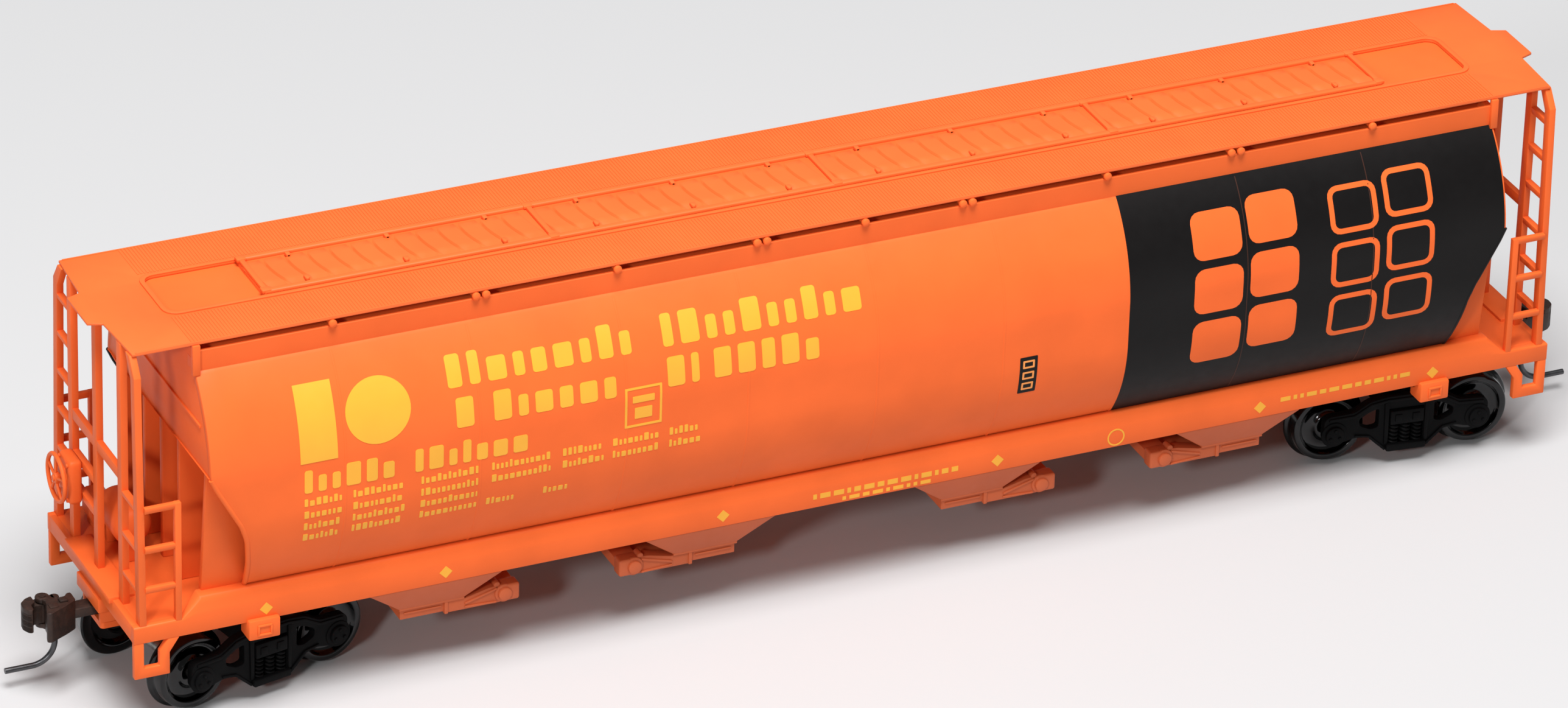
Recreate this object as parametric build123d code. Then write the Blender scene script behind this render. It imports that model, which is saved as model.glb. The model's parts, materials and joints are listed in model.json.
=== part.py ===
"""HO-scale (1:87) model of a four-bay cylindrical covered hopper car.

Frame: +X along the car towards the A end, +Z up, millimetres. The origin is midway along the car,
on its centre plane, at the height of the lowest point of the wheel flanges.
The brake wheel is at the B end, at -X. Both trucks stand slightly turned, as the car is displayed.
"""
import os
from math import cos, radians, sin

from build123d import *

os.makedirs("parts", exist_ok=True)

# ---- driving dimensions ------------------------------------------------------------------------
BODY_HALF = 87.5            # end walls of the cylindrical body
SIDE_Y = 17.75              # widest half-width of the body
SIDE_LOW_Z, SIDE_HIGH_Z = 29.0, 35.5    # the vertical band of the side
SIDE_FOOT_Y = 13.9          # body half-width where it meets the side sill
EAVE_Y, EAVE_Z = 12.3, 47.8
ROOF_Z = 50.9
SHEET = 1.1                 # moulded wall thickness
END_WALL_FOOT_Z = 35.2      # the end wall turns into the slope sheet here
WING_KNEE = (83.4, 27.9)    # knee of the side sheet's end edge, (x, z)
WING_FOOT_X = 81.6
SLOPE_FOOT_X = 67.7         # where the 45-degree slope sheet meets the deck
WEB_X = 87.2                # outer edge of the webs under the slope sheet
SEAM_X = (-70.3, -52.8, -33.6, -17.4, 0, 17.2, 34.3, 50.8, 68.5)
SEAM_WIDTH, SEAM_RISE = 0.35, 0.12

SILL_Y, SILL_WEB, FLANGE_THICK = 15.1, 1.0, 0.9
SILL_LOW_Z, SILL_TOP_Z, DECK_Z, DECK_LOW_Z = 13.3, 18.0, 15.64, 14.6
SILL_END_X, RAMP_OUT_X, RAMP_IN_X = 96.5, 90.2, 87.8
STEP_Y = 7.75               # half-width of the raised crossover step

POCKET_PITCH, POCKET_FIRST_X = 36.5, -57.2
POCKET_TOP_HALF, POCKET_FOOT_HALF = 9.0, 4.1
POCKET_FOOT_Z, POCKET_FOOT_Y = 9.4, 13.3
POCKET_WALL = 0.9

BOARD_Z, BOARD_THICK, BOARD_Y, BOARD_HALF = 51.35, 0.4, 12.65, 95.7
BOARD_TAB_X, BOARD_TAB_Y = 97.7, 3.4
BOARD_OPENING_X, BOARD_OPENING_Y = 88.1, 4.95
HATCH_X, HATCH_Y, HATCH_TOP_Z = 75.8, 4.7, 52.35

FRAME_X, FRAME_DEPTH = 95.7, 0.9        # outer face of the end frame, and its depth along X
INNER_POST_Y, POST_WIDTH = 8.5, 1.4
CORNER_FOOT_Y, CORNER_TOP_Y = 15.0, 13.9
CORNER_BEND_Z = 49.0
RUNG_Z = (20.4, 25.9, 31.4, 36.7, 42.0, 47.2)
RUNG_HEIGHT = 0.85
RAIL_LOW_Z, RAIL_HIGH_Z = 32.4, 33.8
STILE_OUT_X, STILE_IN_X = 91.1, 90.3

TRUCK_X, WHEELBASE = 79.9, 19.7
TRUCK_YAW = {"b": 12.2, "a": -6.7}      # how far each truck stands turned, degrees
TREAD_R, FLANGE_R = 4.8, 5.44
AXLE_Z = FLANGE_R
WHEEL_BACK_Y, FLANGE_FRONT_Y, WHEEL_FACE_Y = 7.2, 7.85, 9.6
AXLE_R, BUSH_R, AXLE_TIP_Y, AXLE_SHOULDER_Y = 0.8, 1.35, 11.9, 10.0
SIDE_FRAME_IN, SIDE_FRAME_OUT, CAP_OUT = 10.3, 11.5, 12.2
BOLSTER_HALF, BOLSTER_LOW_Z, BOLSTER_TOP_Z = 2.3, 6.0, 10.9
CENTRE_PLATE_Z, CENTRE_PLATE_R = 11.4, 3.0
KINGPIN_R = 1.0
RUN = 0.07                  # radial running clearance

COUPLER_Z = 10.5
PIVOT_X, PIVOT_R = 90.0, 1.1
BOX_IN_X, BOX_OUT_X, BOX_Y = 87.0, 96.4, 3.05
CAVITY_Y, CAVITY_LOW_Z, CAVITY_TOP_Z = 2.5, 9.7, 11.3
SHANK_HALF, SHANK_THICK = 1.1, 1.3
KNUCKLE_PIN = (102.3, -1.2)
KNUCKLE_PIN_R = 0.45
HEAD_LOW_Z, HEAD_TOP_Z, LUG = 8.5, 12.6, 0.65
WIRE_R, WIRE_BEND_R = 0.375, 3.0
WIRE_TOP, WIRE_END_X, WIRE_LOW_Z = (100.5, -1.9), 107.0, 2.6

BRAKE_Y, BRAKE_Z, BRAKE_WHEEL_X, BRAKE_WHEEL_R = 6.3, 25.6, 98.3, 3.3
SCREW_R = 0.6


# ---- small helpers -----------------------------------------------------------------------------
def block(x0, x1, y0, y1, z0, z1):
    """An upright box between two corners."""
    size = (abs(x1 - x0), abs(y1 - y0), abs(z1 - z0))
    return Pos((x0 + x1) / 2, (y0 + y1) / 2, (z0 + z1) / 2) * Box(*size)


def plate_xz(points, y0, y1):
    """A plate with an (x, z) outline, from y0 up to y1."""
    face = make_face(Polyline(*points, close=True))
    return extrude(Plane.XZ.offset(-y1) * face, amount=y1 - y0)


def plate_yz(points, x0, x1):
    """A plate with a (y, z) outline, from x0 up to x1."""
    face = make_face(Polyline(*points, close=True))
    return extrude(Plane.YZ.offset(x0) * face, amount=x1 - x0)


def plate_xy(points, z0, z1):
    """A plate with an (x, y) outline, from z0 up to z1."""
    face = make_face(Polyline(*points, close=True))
    return extrude(Plane.XY.offset(z0) * face, amount=z1 - z0)


def rod_x(x0, x1, y, z, radius):
    return Pos((x0 + x1) / 2, y, z) * Rot(0, 90, 0) * Cylinder(radius, abs(x1 - x0))


def rod_y(x, y0, y1, z, radius):
    return Pos(x, (y0 + y1) / 2, z) * Rot(90, 0, 0) * Cylinder(radius, abs(y1 - y0))


def rod_z(x, y, z0, z1, radius):
    return Pos(x, y, (z0 + z1) / 2) * Cylinder(radius, abs(z1 - z0))


def mirrored_y(shape):
    return mirror(shape, about=Plane.XZ)


def both_sides(shape):
    """The shape and its mirror image across the car's centre plane."""
    return shape + mirrored_y(shape)


def half_turn(shape):
    """The A end's copy of a B-end shape, or the other way round."""
    return Rot(0, 0, 180) * shape


def save(node, shape):
    solids = shape.solids() if hasattr(shape, "solids") else shape
    whole = solids[0] if len(solids) == 1 else Compound(children=list(solids))
    export_step(whole, f"parts/{node}.step")


# ---- cylindrical body --------------------------------------------------------------------------
def body_section(inset=0.0):
    """Half of the body's cross-section on (y, z), closed along the centre line."""
    side, foot = SIDE_Y - inset, SIDE_FOOT_Y - inset
    eave, roof = EAVE_Y - inset, ROOF_Z - inset
    foot_line = Line((0, SILL_TOP_Z), (foot, SILL_TOP_Z))
    lower = ThreePointArc((foot, SILL_TOP_Z), (side - 1.1, 23.2), (side, SIDE_LOW_Z))
    flat = Line((side, SIDE_LOW_Z), (side, SIDE_HIGH_Z))
    upper = ThreePointArc((side, SIDE_HIGH_Z), (side - 1.85, 42.6), (eave, EAVE_Z))
    top = Polyline((eave, EAVE_Z), (eave, roof - 0.3), (eave - 1.2, roof), (0, roof), (0, SILL_TOP_Z))
    return make_face(foot_line + lower + flat + upper + top)


def body_bar(x0, x1, inset=0.0):
    """The body's full section, run from x0 to x1."""
    half = extrude(Plane.YZ.offset(x0) * body_section(inset), amount=x1 - x0)
    return half + mirrored_y(half)


def end_cut(direction):
    """What the slanted end of the side sheets takes off the plain bar, as an (x, z) plate."""
    knee_x, knee_z = WING_KNEE
    outline = [(BODY_HALF, END_WALL_FOOT_Z), (knee_x, knee_z), (WING_FOOT_X, 16.0), (99, 16.0)]
    outline += [(99, END_WALL_FOOT_Z)]
    return plate_xz([(direction * x, z) for x, z in outline], -20, 20)


def slope_sheet(direction):
    """The sloping end sheet, from the foot of the end wall down to the first outlet."""
    rise = END_WALL_FOOT_Z - DECK_Z
    top_x = SLOPE_FOOT_X + rise
    outline = [(SLOPE_FOOT_X + 0.4, DECK_Z), (top_x, END_WALL_FOOT_Z - 0.4)]
    outline += [(BODY_HALF, END_WALL_FOOT_Z - 0.4), (BODY_HALF, END_WALL_FOOT_Z + 1.6)]
    outline += [(top_x - 1.6, END_WALL_FOOT_Z), (SLOPE_FOOT_X - 1.6, DECK_Z)]
    sheet = plate_xz([(direction * x, z) for x, z in outline], -18, 18)
    clip = body_bar(-90, 90) + block(-90, 90, -12.7, 12.7, DECK_Z, SILL_TOP_Z)
    return sheet & clip


def end_gussets(direction):
    """Upright webs between the deck and the slope sheet; the outer pair leans with the body's side."""
    under_slope = [(SLOPE_FOOT_X, DECK_Z), (WEB_X, DECK_Z), (WEB_X, DECK_Z + WEB_X - SLOPE_FOOT_X)]
    under_slope = [(direction * x, z) for x, z in under_slope]
    x0, x1 = sorted((direction * WING_FOOT_X, direction * WEB_X))
    leaning = [(13.0, DECK_Z), (15.2, 33.0), (15.2, 36.0), (14.2, 36.0), (14.2, 33.0), (12.0, DECK_Z)]
    webs = plate_xz(under_slope, -0.5, 0.5)
    webs += both_sides(plate_xz(under_slope, 5.4, 6.3))
    flange_low_z = SILL_TOP_Z - FLANGE_THICK
    sill_flange = block(-RAMP_IN_X, RAMP_IN_X, SIDE_FOOT_Y - SHEET, SILL_Y, flange_low_z, SILL_TOP_Z)
    webs += both_sides((plate_yz(leaning, x0, x1) & plate_xz(under_slope, 5, 18)) - sill_flange)
    return webs


def corner_tabs():
    """Upright straps that join the running board to the four top corners of the body."""
    tab = block(86.9, 87.9, 12.3, 12.95, 47.3, BOARD_Z)
    tab = both_sides(tab)
    return tab + half_turn(tab)


def body_shell():
    shell = body_bar(-BODY_HALF, BODY_HALF) - body_bar(-BODY_HALF + SHEET, BODY_HALF - SHEET, SHEET)
    foot_y = SIDE_FOOT_Y - SHEET
    shell -= block(-90, 90, -foot_y, foot_y, SILL_TOP_Z - 1, SILL_TOP_Z + SHEET + 0.6)
    for x in SEAM_X:
        ring = body_bar(x - SEAM_WIDTH / 2, x + SEAM_WIDTH / 2, -SEAM_RISE)
        keep = both_sides(block(x - 1, x + 1, EAVE_Y, 20, SILL_TOP_Z, EAVE_Z))
        shell += (ring & keep) - body_bar(x - 1, x + 1, SHEET / 2)
    eave = block(-BODY_HALF, BODY_HALF, EAVE_Y - 0.5, EAVE_Y + 0.2, EAVE_Z + 0.1, ROOF_Z - 0.3)
    shell += both_sides(eave)
    for direction in (-1, 1):
        shell -= end_cut(direction)
        shell += slope_sheet(direction)
        shell += end_gussets(direction)
        wall_x = sorted((direction * BODY_HALF, direction * (BODY_HALF + 0.25)))
        shell += block(wall_x[0], wall_x[1], -14.5, 14.5, 41.0, 41.4)
    return shell + corner_tabs()


# ---- underframe --------------------------------------------------------------------------------
def side_sill():
    """One side sill on the +Y side: web, rolled upper edge and top flange."""
    outline = [(-SILL_END_X, SILL_LOW_Z), (SILL_END_X, SILL_LOW_Z), (SILL_END_X, DECK_Z)]
    outline += [(RAMP_OUT_X, DECK_Z), (RAMP_IN_X, SILL_TOP_Z), (-RAMP_IN_X, SILL_TOP_Z)]
    outline += [(-RAMP_OUT_X, DECK_Z), (-SILL_END_X, DECK_Z)]
    web = plate_xz(outline, SILL_Y - SILL_WEB, SILL_Y)
    roll = [(SILL_Y, 16.1), (SILL_Y + 1, 16.1), (SILL_Y + 1, 19), (SILL_Y - 0.5, 19), (SILL_Y - 0.35, 17.8)]
    roll = plate_yz(roll, -100, 100)
    inner_y, web_y, low_z = SIDE_FOOT_Y - SHEET, SILL_Y - SILL_WEB, SILL_TOP_Z - FLANGE_THICK
    flange = block(-RAMP_IN_X, RAMP_IN_X, inner_y, web_y, low_z, SILL_TOP_Z)
    return web - roll + flange


def stirrup(direction):
    """Corner step under the end of the side sill, on the +Y side."""
    leg = [(96.5, 13.3), (96.5, 8.4), (91.9, 8.4), (91.9, 11.4), (90.6, 13.3)]
    window = [(95.2, 13.3), (95.2, 9.8), (93.2, 9.8), (93.2, 11.7), (92.1, 13.3)]
    step = plate_xz([(direction * x, z) for x, z in leg], SILL_Y - 0.9, SILL_Y)
    return step - plate_xz([(direction * x, z) for x, z in window], SILL_Y - 2, SILL_Y + 1)


def bolster_pad(direction):
    """Jacking pad at the end of the body bolster, on the +Y side."""
    x0, x1 = sorted((direction * 77.9, direction * 82.0))
    pad = block(x0, x1, 12.9, SILL_Y + 0.7, 11.0, 13.7)
    pad = chamfer(pad.edges().filter_by(Axis.Z).group_by(Axis.Y)[-1], 0.35)
    lug = block(direction * 79.95 - 0.8, direction * 79.95 + 0.8, SILL_Y + 0.7, SILL_Y + 0.95, 11.7, 12.8)
    return pad + lug


def draft_box():
    """Coupler pocket under the A end, open at the front and closed below by its cover."""
    box = block(BOX_IN_X, BOX_OUT_X, -BOX_Y, BOX_Y, CAVITY_LOW_Z, DECK_LOW_Z)
    box -= block(BOX_IN_X + 0.7, BOX_OUT_X + 1, -CAVITY_Y, CAVITY_Y, CAVITY_LOW_Z - 1, CAVITY_TOP_Z)
    post = rod_z(PIVOT_X, 0, CAVITY_LOW_Z, CAVITY_TOP_Z, PIVOT_R)
    striker = block(95.4, 96.9, -3.8, 3.8, CAVITY_TOP_Z + 0.3, SILL_LOW_Z)
    return box + post + striker - rod_z(PIVOT_X, 0, 8, 12.6, SCREW_R)


def end_platform():
    """End sill and its crossover step, at the A end."""
    sill = block(95.6, SILL_END_X, -SILL_Y, SILL_Y, SILL_LOW_Z, DECK_Z)
    step = block(93.6, 97.0, -STEP_Y, STEP_Y, DECK_Z - 0.5, DECK_Z + 0.35)
    return sill + step


def underframe():
    deck = block(-SILL_END_X, SILL_END_X, -SILL_Y + 0.5, SILL_Y - 0.5, DECK_LOW_Z, DECK_Z)
    for i in range(4):
        x = POCKET_FIRST_X + i * POCKET_PITCH
        half = POCKET_TOP_HALF - 2 * POCKET_WALL
        deck -= block(x - half, x + half, -12, 12, 14, 16)
    frame = deck + both_sides(side_sill())
    for direction in (-1, 1):
        frame += both_sides(stirrup(direction) + bolster_pad(direction))
        beam = block(direction * 79.9 - 2.0, direction * 79.9 + 2.0, -14.2, 14.2, 12.3, DECK_LOW_Z)
        boss = rod_z(direction * TRUCK_X, 0, CENTRE_PLATE_Z + 0.1, DECK_LOW_Z, CENTRE_PLATE_R + 0.3)
        frame += beam + boss
        stub = sorted((direction * 67.5, direction * 87.0))
        frame += block(stub[0], stub[1], -2.4, 2.4, 12.3, DECK_LOW_Z)
        frame -= rod_z(direction * TRUCK_X, 0, 10, 16, KINGPIN_R)
    for i in range(3):
        x = POCKET_FIRST_X + (i + 0.5) * POCKET_PITCH
        gap = POCKET_PITCH / 2 - POCKET_TOP_HALF
        frame += block(x - gap, x + gap, -2.4, 2.4, 11.6, DECK_LOW_Z)
        if i != 1:
            frame -= rod_z(x, 0, 12.5, 16, SCREW_R)
    ends = draft_box() + end_platform()
    frame += ends + half_turn(ends)
    for direction in (-1, 1):
        frame -= rod_z(direction * PIVOT_X, 0, 8, 12.6, SCREW_R)
    return frame


def hopper_pocket(x):
    """One tapered outlet pocket under the deck, open above and below."""
    def frustum(top_half, foot_half, top_y, foot_y):
        top = Plane.XY.offset(SILL_LOW_Z) * Rectangle(2 * top_half, 2 * top_y)
        foot = Plane.XY.offset(POCKET_FOOT_Z) * Rectangle(2 * foot_half, 2 * foot_y)
        return loft([foot, top])
    outer = frustum(POCKET_TOP_HALF, POCKET_FOOT_HALF, SILL_Y - 0.05, POCKET_FOOT_Y)
    inner = frustum(POCKET_TOP_HALF - POCKET_WALL, POCKET_FOOT_HALF - POCKET_WALL,
                    SILL_Y - 0.05 - POCKET_WALL, POCKET_FOOT_Y - POCKET_WALL)
    neck_half, neck_y = POCKET_TOP_HALF - 0.6, SILL_Y - SILL_WEB - 0.05
    neck = block(-neck_half, neck_half, -neck_y, neck_y, SILL_LOW_Z, DECK_LOW_Z)
    neck -= block(-POCKET_TOP_HALF + 1.8, POCKET_TOP_HALF - 1.8, -12, 12, 13, 15)
    return Pos(x, 0, 0) * (outer - inner + neck)


def outlet_gate(x, direction):
    """Sliding-gate frame under one pocket, with its operating head at one end."""
    frame = block(-4.1, 1.8, -13.1, 13.1, 8.0, 9.4)
    frame += block(1.7, 8.8, -12.4, 12.4, 8.1, 8.9)
    arm = [(1.8, 7.75), (9.2, 7.75), (9.2, 10.3), (7.6, 10.2), (4.6, 9.4), (1.8, 9.4)]
    rib = [(4.4, 8.5), (8.6, 9.6), (8.6, 9.9), (4.4, 8.8)]
    side = plate_xz(arm, 11.6, 13.2) + plate_xz(rib, 13.2, 13.45)
    side += block(8.9, 11.6, 11.6, 13.5, 7.9, 10.2) + rod_y(9.6, 13.3, 13.9, 9.05, 0.9)
    frame += both_sides(side)
    frame += block(8.6, 11.5, -12.3, 12.3, 8.3, 9.8)
    frame += block(1.7, 2.2, -13.35, 13.35, 7.7, 9.5)
    whole = frame if direction > 0 else Rot(0, 0, 180) * frame
    return Pos(x, 0, 0) * whole


# ---- ends of the car ---------------------------------------------------------------------------
def corner_post(side):
    """Post at one corner of the end frame; it leans out towards its foot."""
    outline = [(CORNER_FOOT_Y, DECK_Z), (CORNER_TOP_Y, CORNER_BEND_Z), (12.3, BOARD_Z)]
    outline += [(10.9, BOARD_Z), (CORNER_TOP_Y - 1.3, CORNER_BEND_Z - 0.6), (CORNER_FOOT_Y - 1.3, DECK_Z)]
    return plate_yz([(side * y, z) for y, z in outline], FRAME_X - FRAME_DEPTH, FRAME_X)


def end_frame(ladder_side):
    """End frame at the A end; the full-height ladder is on the side of ladder_side."""
    x0, x1 = FRAME_X - FRAME_DEPTH, FRAME_X
    frame = corner_post(1) + corner_post(-1)
    half = POST_WIDTH / 2
    for y in (-INNER_POST_Y, 0, INNER_POST_Y):
        frame += block(x0, x1, y - half, y + half, DECK_Z + (0.35 if abs(y) < STEP_Y else 0), BOARD_Z)
    for z in RUNG_Z:
        for side in (-1, 1):
            if side == ladder_side or z < 32:
                slope = (CORNER_FOOT_Y - CORNER_TOP_Y) / (CORNER_BEND_Z - DECK_Z)
                lean = CORNER_FOOT_Y - 1.3 - (z - DECK_Z) * slope
                ends = sorted((side * INNER_POST_Y, side * (lean + 0.3)))
                frame += block(x0, x1, ends[0], ends[1], z - RUNG_HEIGHT, z)
    return frame + block(x0 + 0.1, x1, -INNER_POST_Y, INNER_POST_Y, RAIL_LOW_Z, RAIL_HIGH_Z)


def brake_stand():
    """Two straps across the end frame that carry the hand-brake housing, built at the A end."""
    straps = None
    for z in (23.2, 27.6):
        strap = block(FRAME_X - FRAME_DEPTH, FRAME_X, -INNER_POST_Y, 0, z - 0.5, z + 0.5)
        straps = strap if straps is None else straps + strap
    return straps


def side_ladder(direction):
    """Short side ladder between the corner post and its own stile, on the +Y side."""
    post_x = FRAME_X - FRAME_DEPTH
    x0, x1 = sorted((direction * STILE_IN_X, direction * STILE_OUT_X))
    ladder = block(x0, x1, 14.3, SILL_Y, DECK_Z, RUNG_Z[2] + 0.4)
    for z in RUNG_Z[:3]:
        ends = sorted((direction * STILE_IN_X, direction * post_x))
        ladder += block(ends[0], ends[1], 14.3, SILL_Y, z - RUNG_HEIGHT + 0.4, z + 0.4)
    return ladder


def brake_housing():
    """Hand-brake gear housing, at the B end."""
    housing = block(-97.5, -FRAME_X, BRAKE_Y - 2.1, BRAKE_Y + 1.9, BRAKE_Z - 3.2, BRAKE_Z + 2.8)
    housing = fillet(housing.edges().filter_by(Axis.X), 0.7)
    cover = rod_x(-97.8, -97.5, BRAKE_Y, BRAKE_Z, 1.5)
    return housing + cover - rod_x(-99, -96.2, BRAKE_Y, BRAKE_Z, 0.4 + RUN)


def brake_shaft():
    return rod_x(-98.9, -96.3, BRAKE_Y, BRAKE_Z, 0.4)


def brake_wheel():
    """Five-spoke hand-brake wheel on the shaft."""
    rim = Pos(-BRAKE_WHEEL_X, BRAKE_Y, BRAKE_Z) * Rot(0, 90, 0) * Torus(BRAKE_WHEEL_R - 0.28, 0.28)
    hub = rod_x(-98.75, -98.05, BRAKE_Y, BRAKE_Z, 0.75)
    wheel = rim + hub
    for i in range(5):
        spoke = Pos(0, 0, BRAKE_WHEEL_R / 2) * Box(0.34, 0.42, BRAKE_WHEEL_R - 0.5)
        wheel += Pos(-BRAKE_WHEEL_X, BRAKE_Y, BRAKE_Z) * Rot(72 * i, 0, 0) * spoke
    return wheel - rod_x(-99, -97, BRAKE_Y, BRAKE_Z, 0.4)


def air_reservoir():
    """Domed air tank on the B-end deck, lying across the car on two saddles."""
    tank = rod_y(-91.0, -1.2, 7.2, 20.6, 2.5)
    tank = fillet(tank.edges(), 0.9)
    saddles = None
    for y in (0.4, 5.8):
        saddle = block(-92.2, -89.8, y - 0.4, y + 0.4, DECK_Z, 19.0)
        saddles = saddle if saddles is None else saddles + saddle
    return tank + saddles


def brake_cylinder():
    """Brake cylinder with its push rod, under the slope sheet on the far side."""
    barrel = rod_y(-83.4, 6.8, 10.4, 19.0, 1.7)
    flange = rod_y(-83.4, 10.4, 10.8, 19.0, 2.0)
    rod = rod_y(-83.4, 10.8, 12.1, 19.0, 0.4)
    foot = block(-84.2, -82.6, 7.4, 9.8, DECK_Z, 17.8)
    return barrel + flange + rod + foot


def control_valve():
    """Air-brake control valve on its pipe bracket."""
    body = block(-93.0, -90.2, 8.8, 12.2, DECK_Z + 0.9, 20.0)
    body = chamfer(body.edges().filter_by(Axis.Y), 0.5)
    foot = block(-92.6, -90.6, 9.4, 11.6, DECK_Z, DECK_Z + 0.9)
    caps = rod_y(-91.6, 12.2, 12.9, 18.4, 1.0) + rod_y(-91.6, 8.1, 8.8, 18.4, 1.0)
    return body + foot + caps


# ---- roof --------------------------------------------------------------------------------------
def running_board():
    """Grating plate round the hatches, with an end step and cut-back corners at each end."""
    quarter = [(BOARD_HALF - 0.3, BOARD_Y), (BOARD_HALF + 0.2, 4.1), (BOARD_TAB_X, BOARD_TAB_Y)]
    outline = quarter + [(x, -y) for x, y in reversed(quarter)]
    outline += [(-x, y) for x, y in reversed(outline)]
    board = plate_xy(outline, BOARD_Z, BOARD_Z + BOARD_THICK)
    hole = block(-BOARD_OPENING_X, BOARD_OPENING_X, -BOARD_OPENING_Y, BOARD_OPENING_Y, 50, 53)
    hole = fillet(hole.edges().filter_by(Axis.Z), 0.8)
    lip_outer = block(-BOARD_OPENING_X - 0.5, BOARD_OPENING_X + 0.5, -BOARD_OPENING_Y - 0.5,
                      BOARD_OPENING_Y + 0.5, BOARD_Z, BOARD_Z + BOARD_THICK + 0.15)
    lip = fillet(lip_outer.edges().filter_by(Axis.Z), 1.2)
    return board + lip - hole


def trough_hatch():
    """Long trough hatch in four lengths, ribbed across, with raised edges and latches."""
    hatch = block(-HATCH_X, HATCH_X, -HATCH_Y, HATCH_Y, ROOF_Z, HATCH_TOP_Z - 0.45)
    edge = block(-HATCH_X, HATCH_X, HATCH_Y - 0.9, HATCH_Y, HATCH_TOP_Z - 0.45, HATCH_TOP_Z)
    edge = fillet(edge.edges().filter_by(Axis.X).group_by(Axis.Z)[-1], 0.25)
    hatch += both_sides(edge)
    length = 2 * HATCH_X / 4
    for section in range(4):
        start = -HATCH_X + section * length
        for rib in range(13):
            x = start + (rib + 0.5) * length / 13
            rib_y = HATCH_Y - 0.9
            hatch += block(x - 0.35, x + 0.35, -rib_y, rib_y, HATCH_TOP_Z - 0.46, HATCH_TOP_Z - 0.15)
        for end in (start, start + length):
            x = min(max(end, -HATCH_X + 0.3), HATCH_X - 0.3)
            hatch += block(x - 0.3, x + 0.3, -HATCH_Y, HATCH_Y, HATCH_TOP_Z - 0.46, HATCH_TOP_Z)
        for latch in (0.16, 0.5, 0.84):
            x = start + latch * length
            hatch += both_sides(block(x - 0.4, x + 0.4, 2.6, 3.8, HATCH_TOP_Z - 0.3, HATCH_TOP_Z + 0.12))
    return hatch


def board_pins():
    """Round pin ends under the running board's edge, single and double by turns."""
    places = [0, 33.0, 70.0, 13.2, 14.5, 50.2, 51.5]
    pins = []
    for x in sorted(set(places + [-x for x in places])):
        for side in (-1, 1):
            pin = rod_y(x, side * (EAVE_Y + 0.2), side * (EAVE_Y + 0.8), 50.72, 0.6)
            edges = pin.edges().group_by(Axis.Y)[-1 if side > 0 else 0]
            pins.append(fillet(edges, 0.25))
    return Compound(children=pins)


# ---- inside ------------------------------------------------------------------------------------
def ballast_weight():
    """Steel bar that brings the car up to weight."""
    bar = block(-60, 60, -10, 10, DECK_Z, DECK_Z + 4.0)
    for i in (0, 2):
        bar -= rod_z(POCKET_FIRST_X + (i + 0.5) * POCKET_PITCH, 0, 15, 21, SCREW_R)
    return bar


def ballast_screws():
    screws = []
    for i in (0, 2):
        x = POCKET_FIRST_X + (i + 0.5) * POCKET_PITCH
        head = rod_z(x, 0, DECK_Z + 4.0, DECK_Z + 4.7, 1.3)
        screws.append(rod_z(x, 0, 12.5, DECK_Z + 4.0, SCREW_R) + head)
    return Compound(children=screws)


# ---- couplers, drawn at the A end --------------------------------------------------------------
def coupler_body():
    """Shank and head, with the guard arm on the +Y side and two lugs for the knuckle's pin."""
    low, high = COUPLER_Z - SHANK_THICK / 2, COUPLER_Z + SHANK_THICK / 2
    shank = rod_z(PIVOT_X, 0, low, high, 2.2) + block(PIVOT_X, 99.4, -SHANK_HALF, SHANK_HALF, low, high)
    head = [(98.8, -0.8), (99.4, -0.75), (99.7, -0.2), (102.4, -0.05), (102.5, 0.9), (102.9, 2.0)]
    head += [(103.2, 3.0), (102.7, 3.3), (101.4, 2.6), (100.2, 2.0), (98.8, 1.1)]
    head = plate_xy(head, HEAD_LOW_Z, HEAD_TOP_Z)
    head = chamfer(head.edges().group_by(Axis.Z)[-1] + head.edges().group_by(Axis.Z)[0], 0.3)
    pin_x, pin_y = KNUCKLE_PIN
    for z0, z1 in ((HEAD_LOW_Z, HEAD_LOW_Z + LUG), (HEAD_TOP_Z - LUG, HEAD_TOP_Z)):
        neck = plate_xy([(101.0, 0.2), (101.5, -1.3), (103.2, -1.2), (102.3, 0.2)], z0, z1)
        head += neck + rod_z(pin_x, pin_y, z0, z1, 0.9)
    head += block(99.7, 100.9, 0.2, 1.3, HEAD_TOP_Z - 0.1, HEAD_TOP_Z + 0.3)
    body = shank + head
    body -= rod_z(PIVOT_X, 0, 9, 12, PIVOT_R + RUN)
    return body - rod_z(pin_x, pin_y, 8, 13, KNUCKLE_PIN_R)


def knuckle():
    """Hooked knuckle that turns on its pin between the head's lugs; its tail holds the trip wire."""
    low, high = HEAD_LOW_Z + LUG + 0.1, HEAD_TOP_Z - LUG - 0.1
    pin_x, pin_y = KNUCKLE_PIN
    wire_x, wire_y = WIRE_TOP
    front = [(104.4, -1.6), (105.2, -0.8), (105.35, 0.3), (104.9, 1.3), (104.4, 1.5)]
    front += [(104.2, 1.0), (104.15, 0.0)]
    hook = [(pin_x, pin_y - 0.85), (103.4, -2.0)] + front + [(103.5, -0.4), (pin_x, pin_y + 0.85)]
    jaw = plate_xy(hook, low, high) + rod_z(pin_x, pin_y, low, high, 0.9)
    tail = [(pin_x, pin_y - 0.85), (wire_x, wire_y - 0.6), (wire_x, wire_y + 0.6), (pin_x, pin_y + 0.2)]
    jaw += plate_xy(tail, low, high) + rod_z(wire_x, wire_y, low, high, 0.6)
    nose = [(103.5, -1.95)] + front + [(103.5, -0.4)]
    jaw += plate_xy(nose, low, high + 0.6)
    jaw -= rod_z(pin_x, pin_y, 8, 13, KNUCKLE_PIN_R + RUN)
    return jaw - rod_z(wire_x, wire_y, low - 1, low + 1.6, WIRE_R)


def knuckle_pin():
    return rod_z(*KNUCKLE_PIN, HEAD_LOW_Z - 0.1, HEAD_TOP_Z + 0.1, KNUCKLE_PIN_R)


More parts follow.
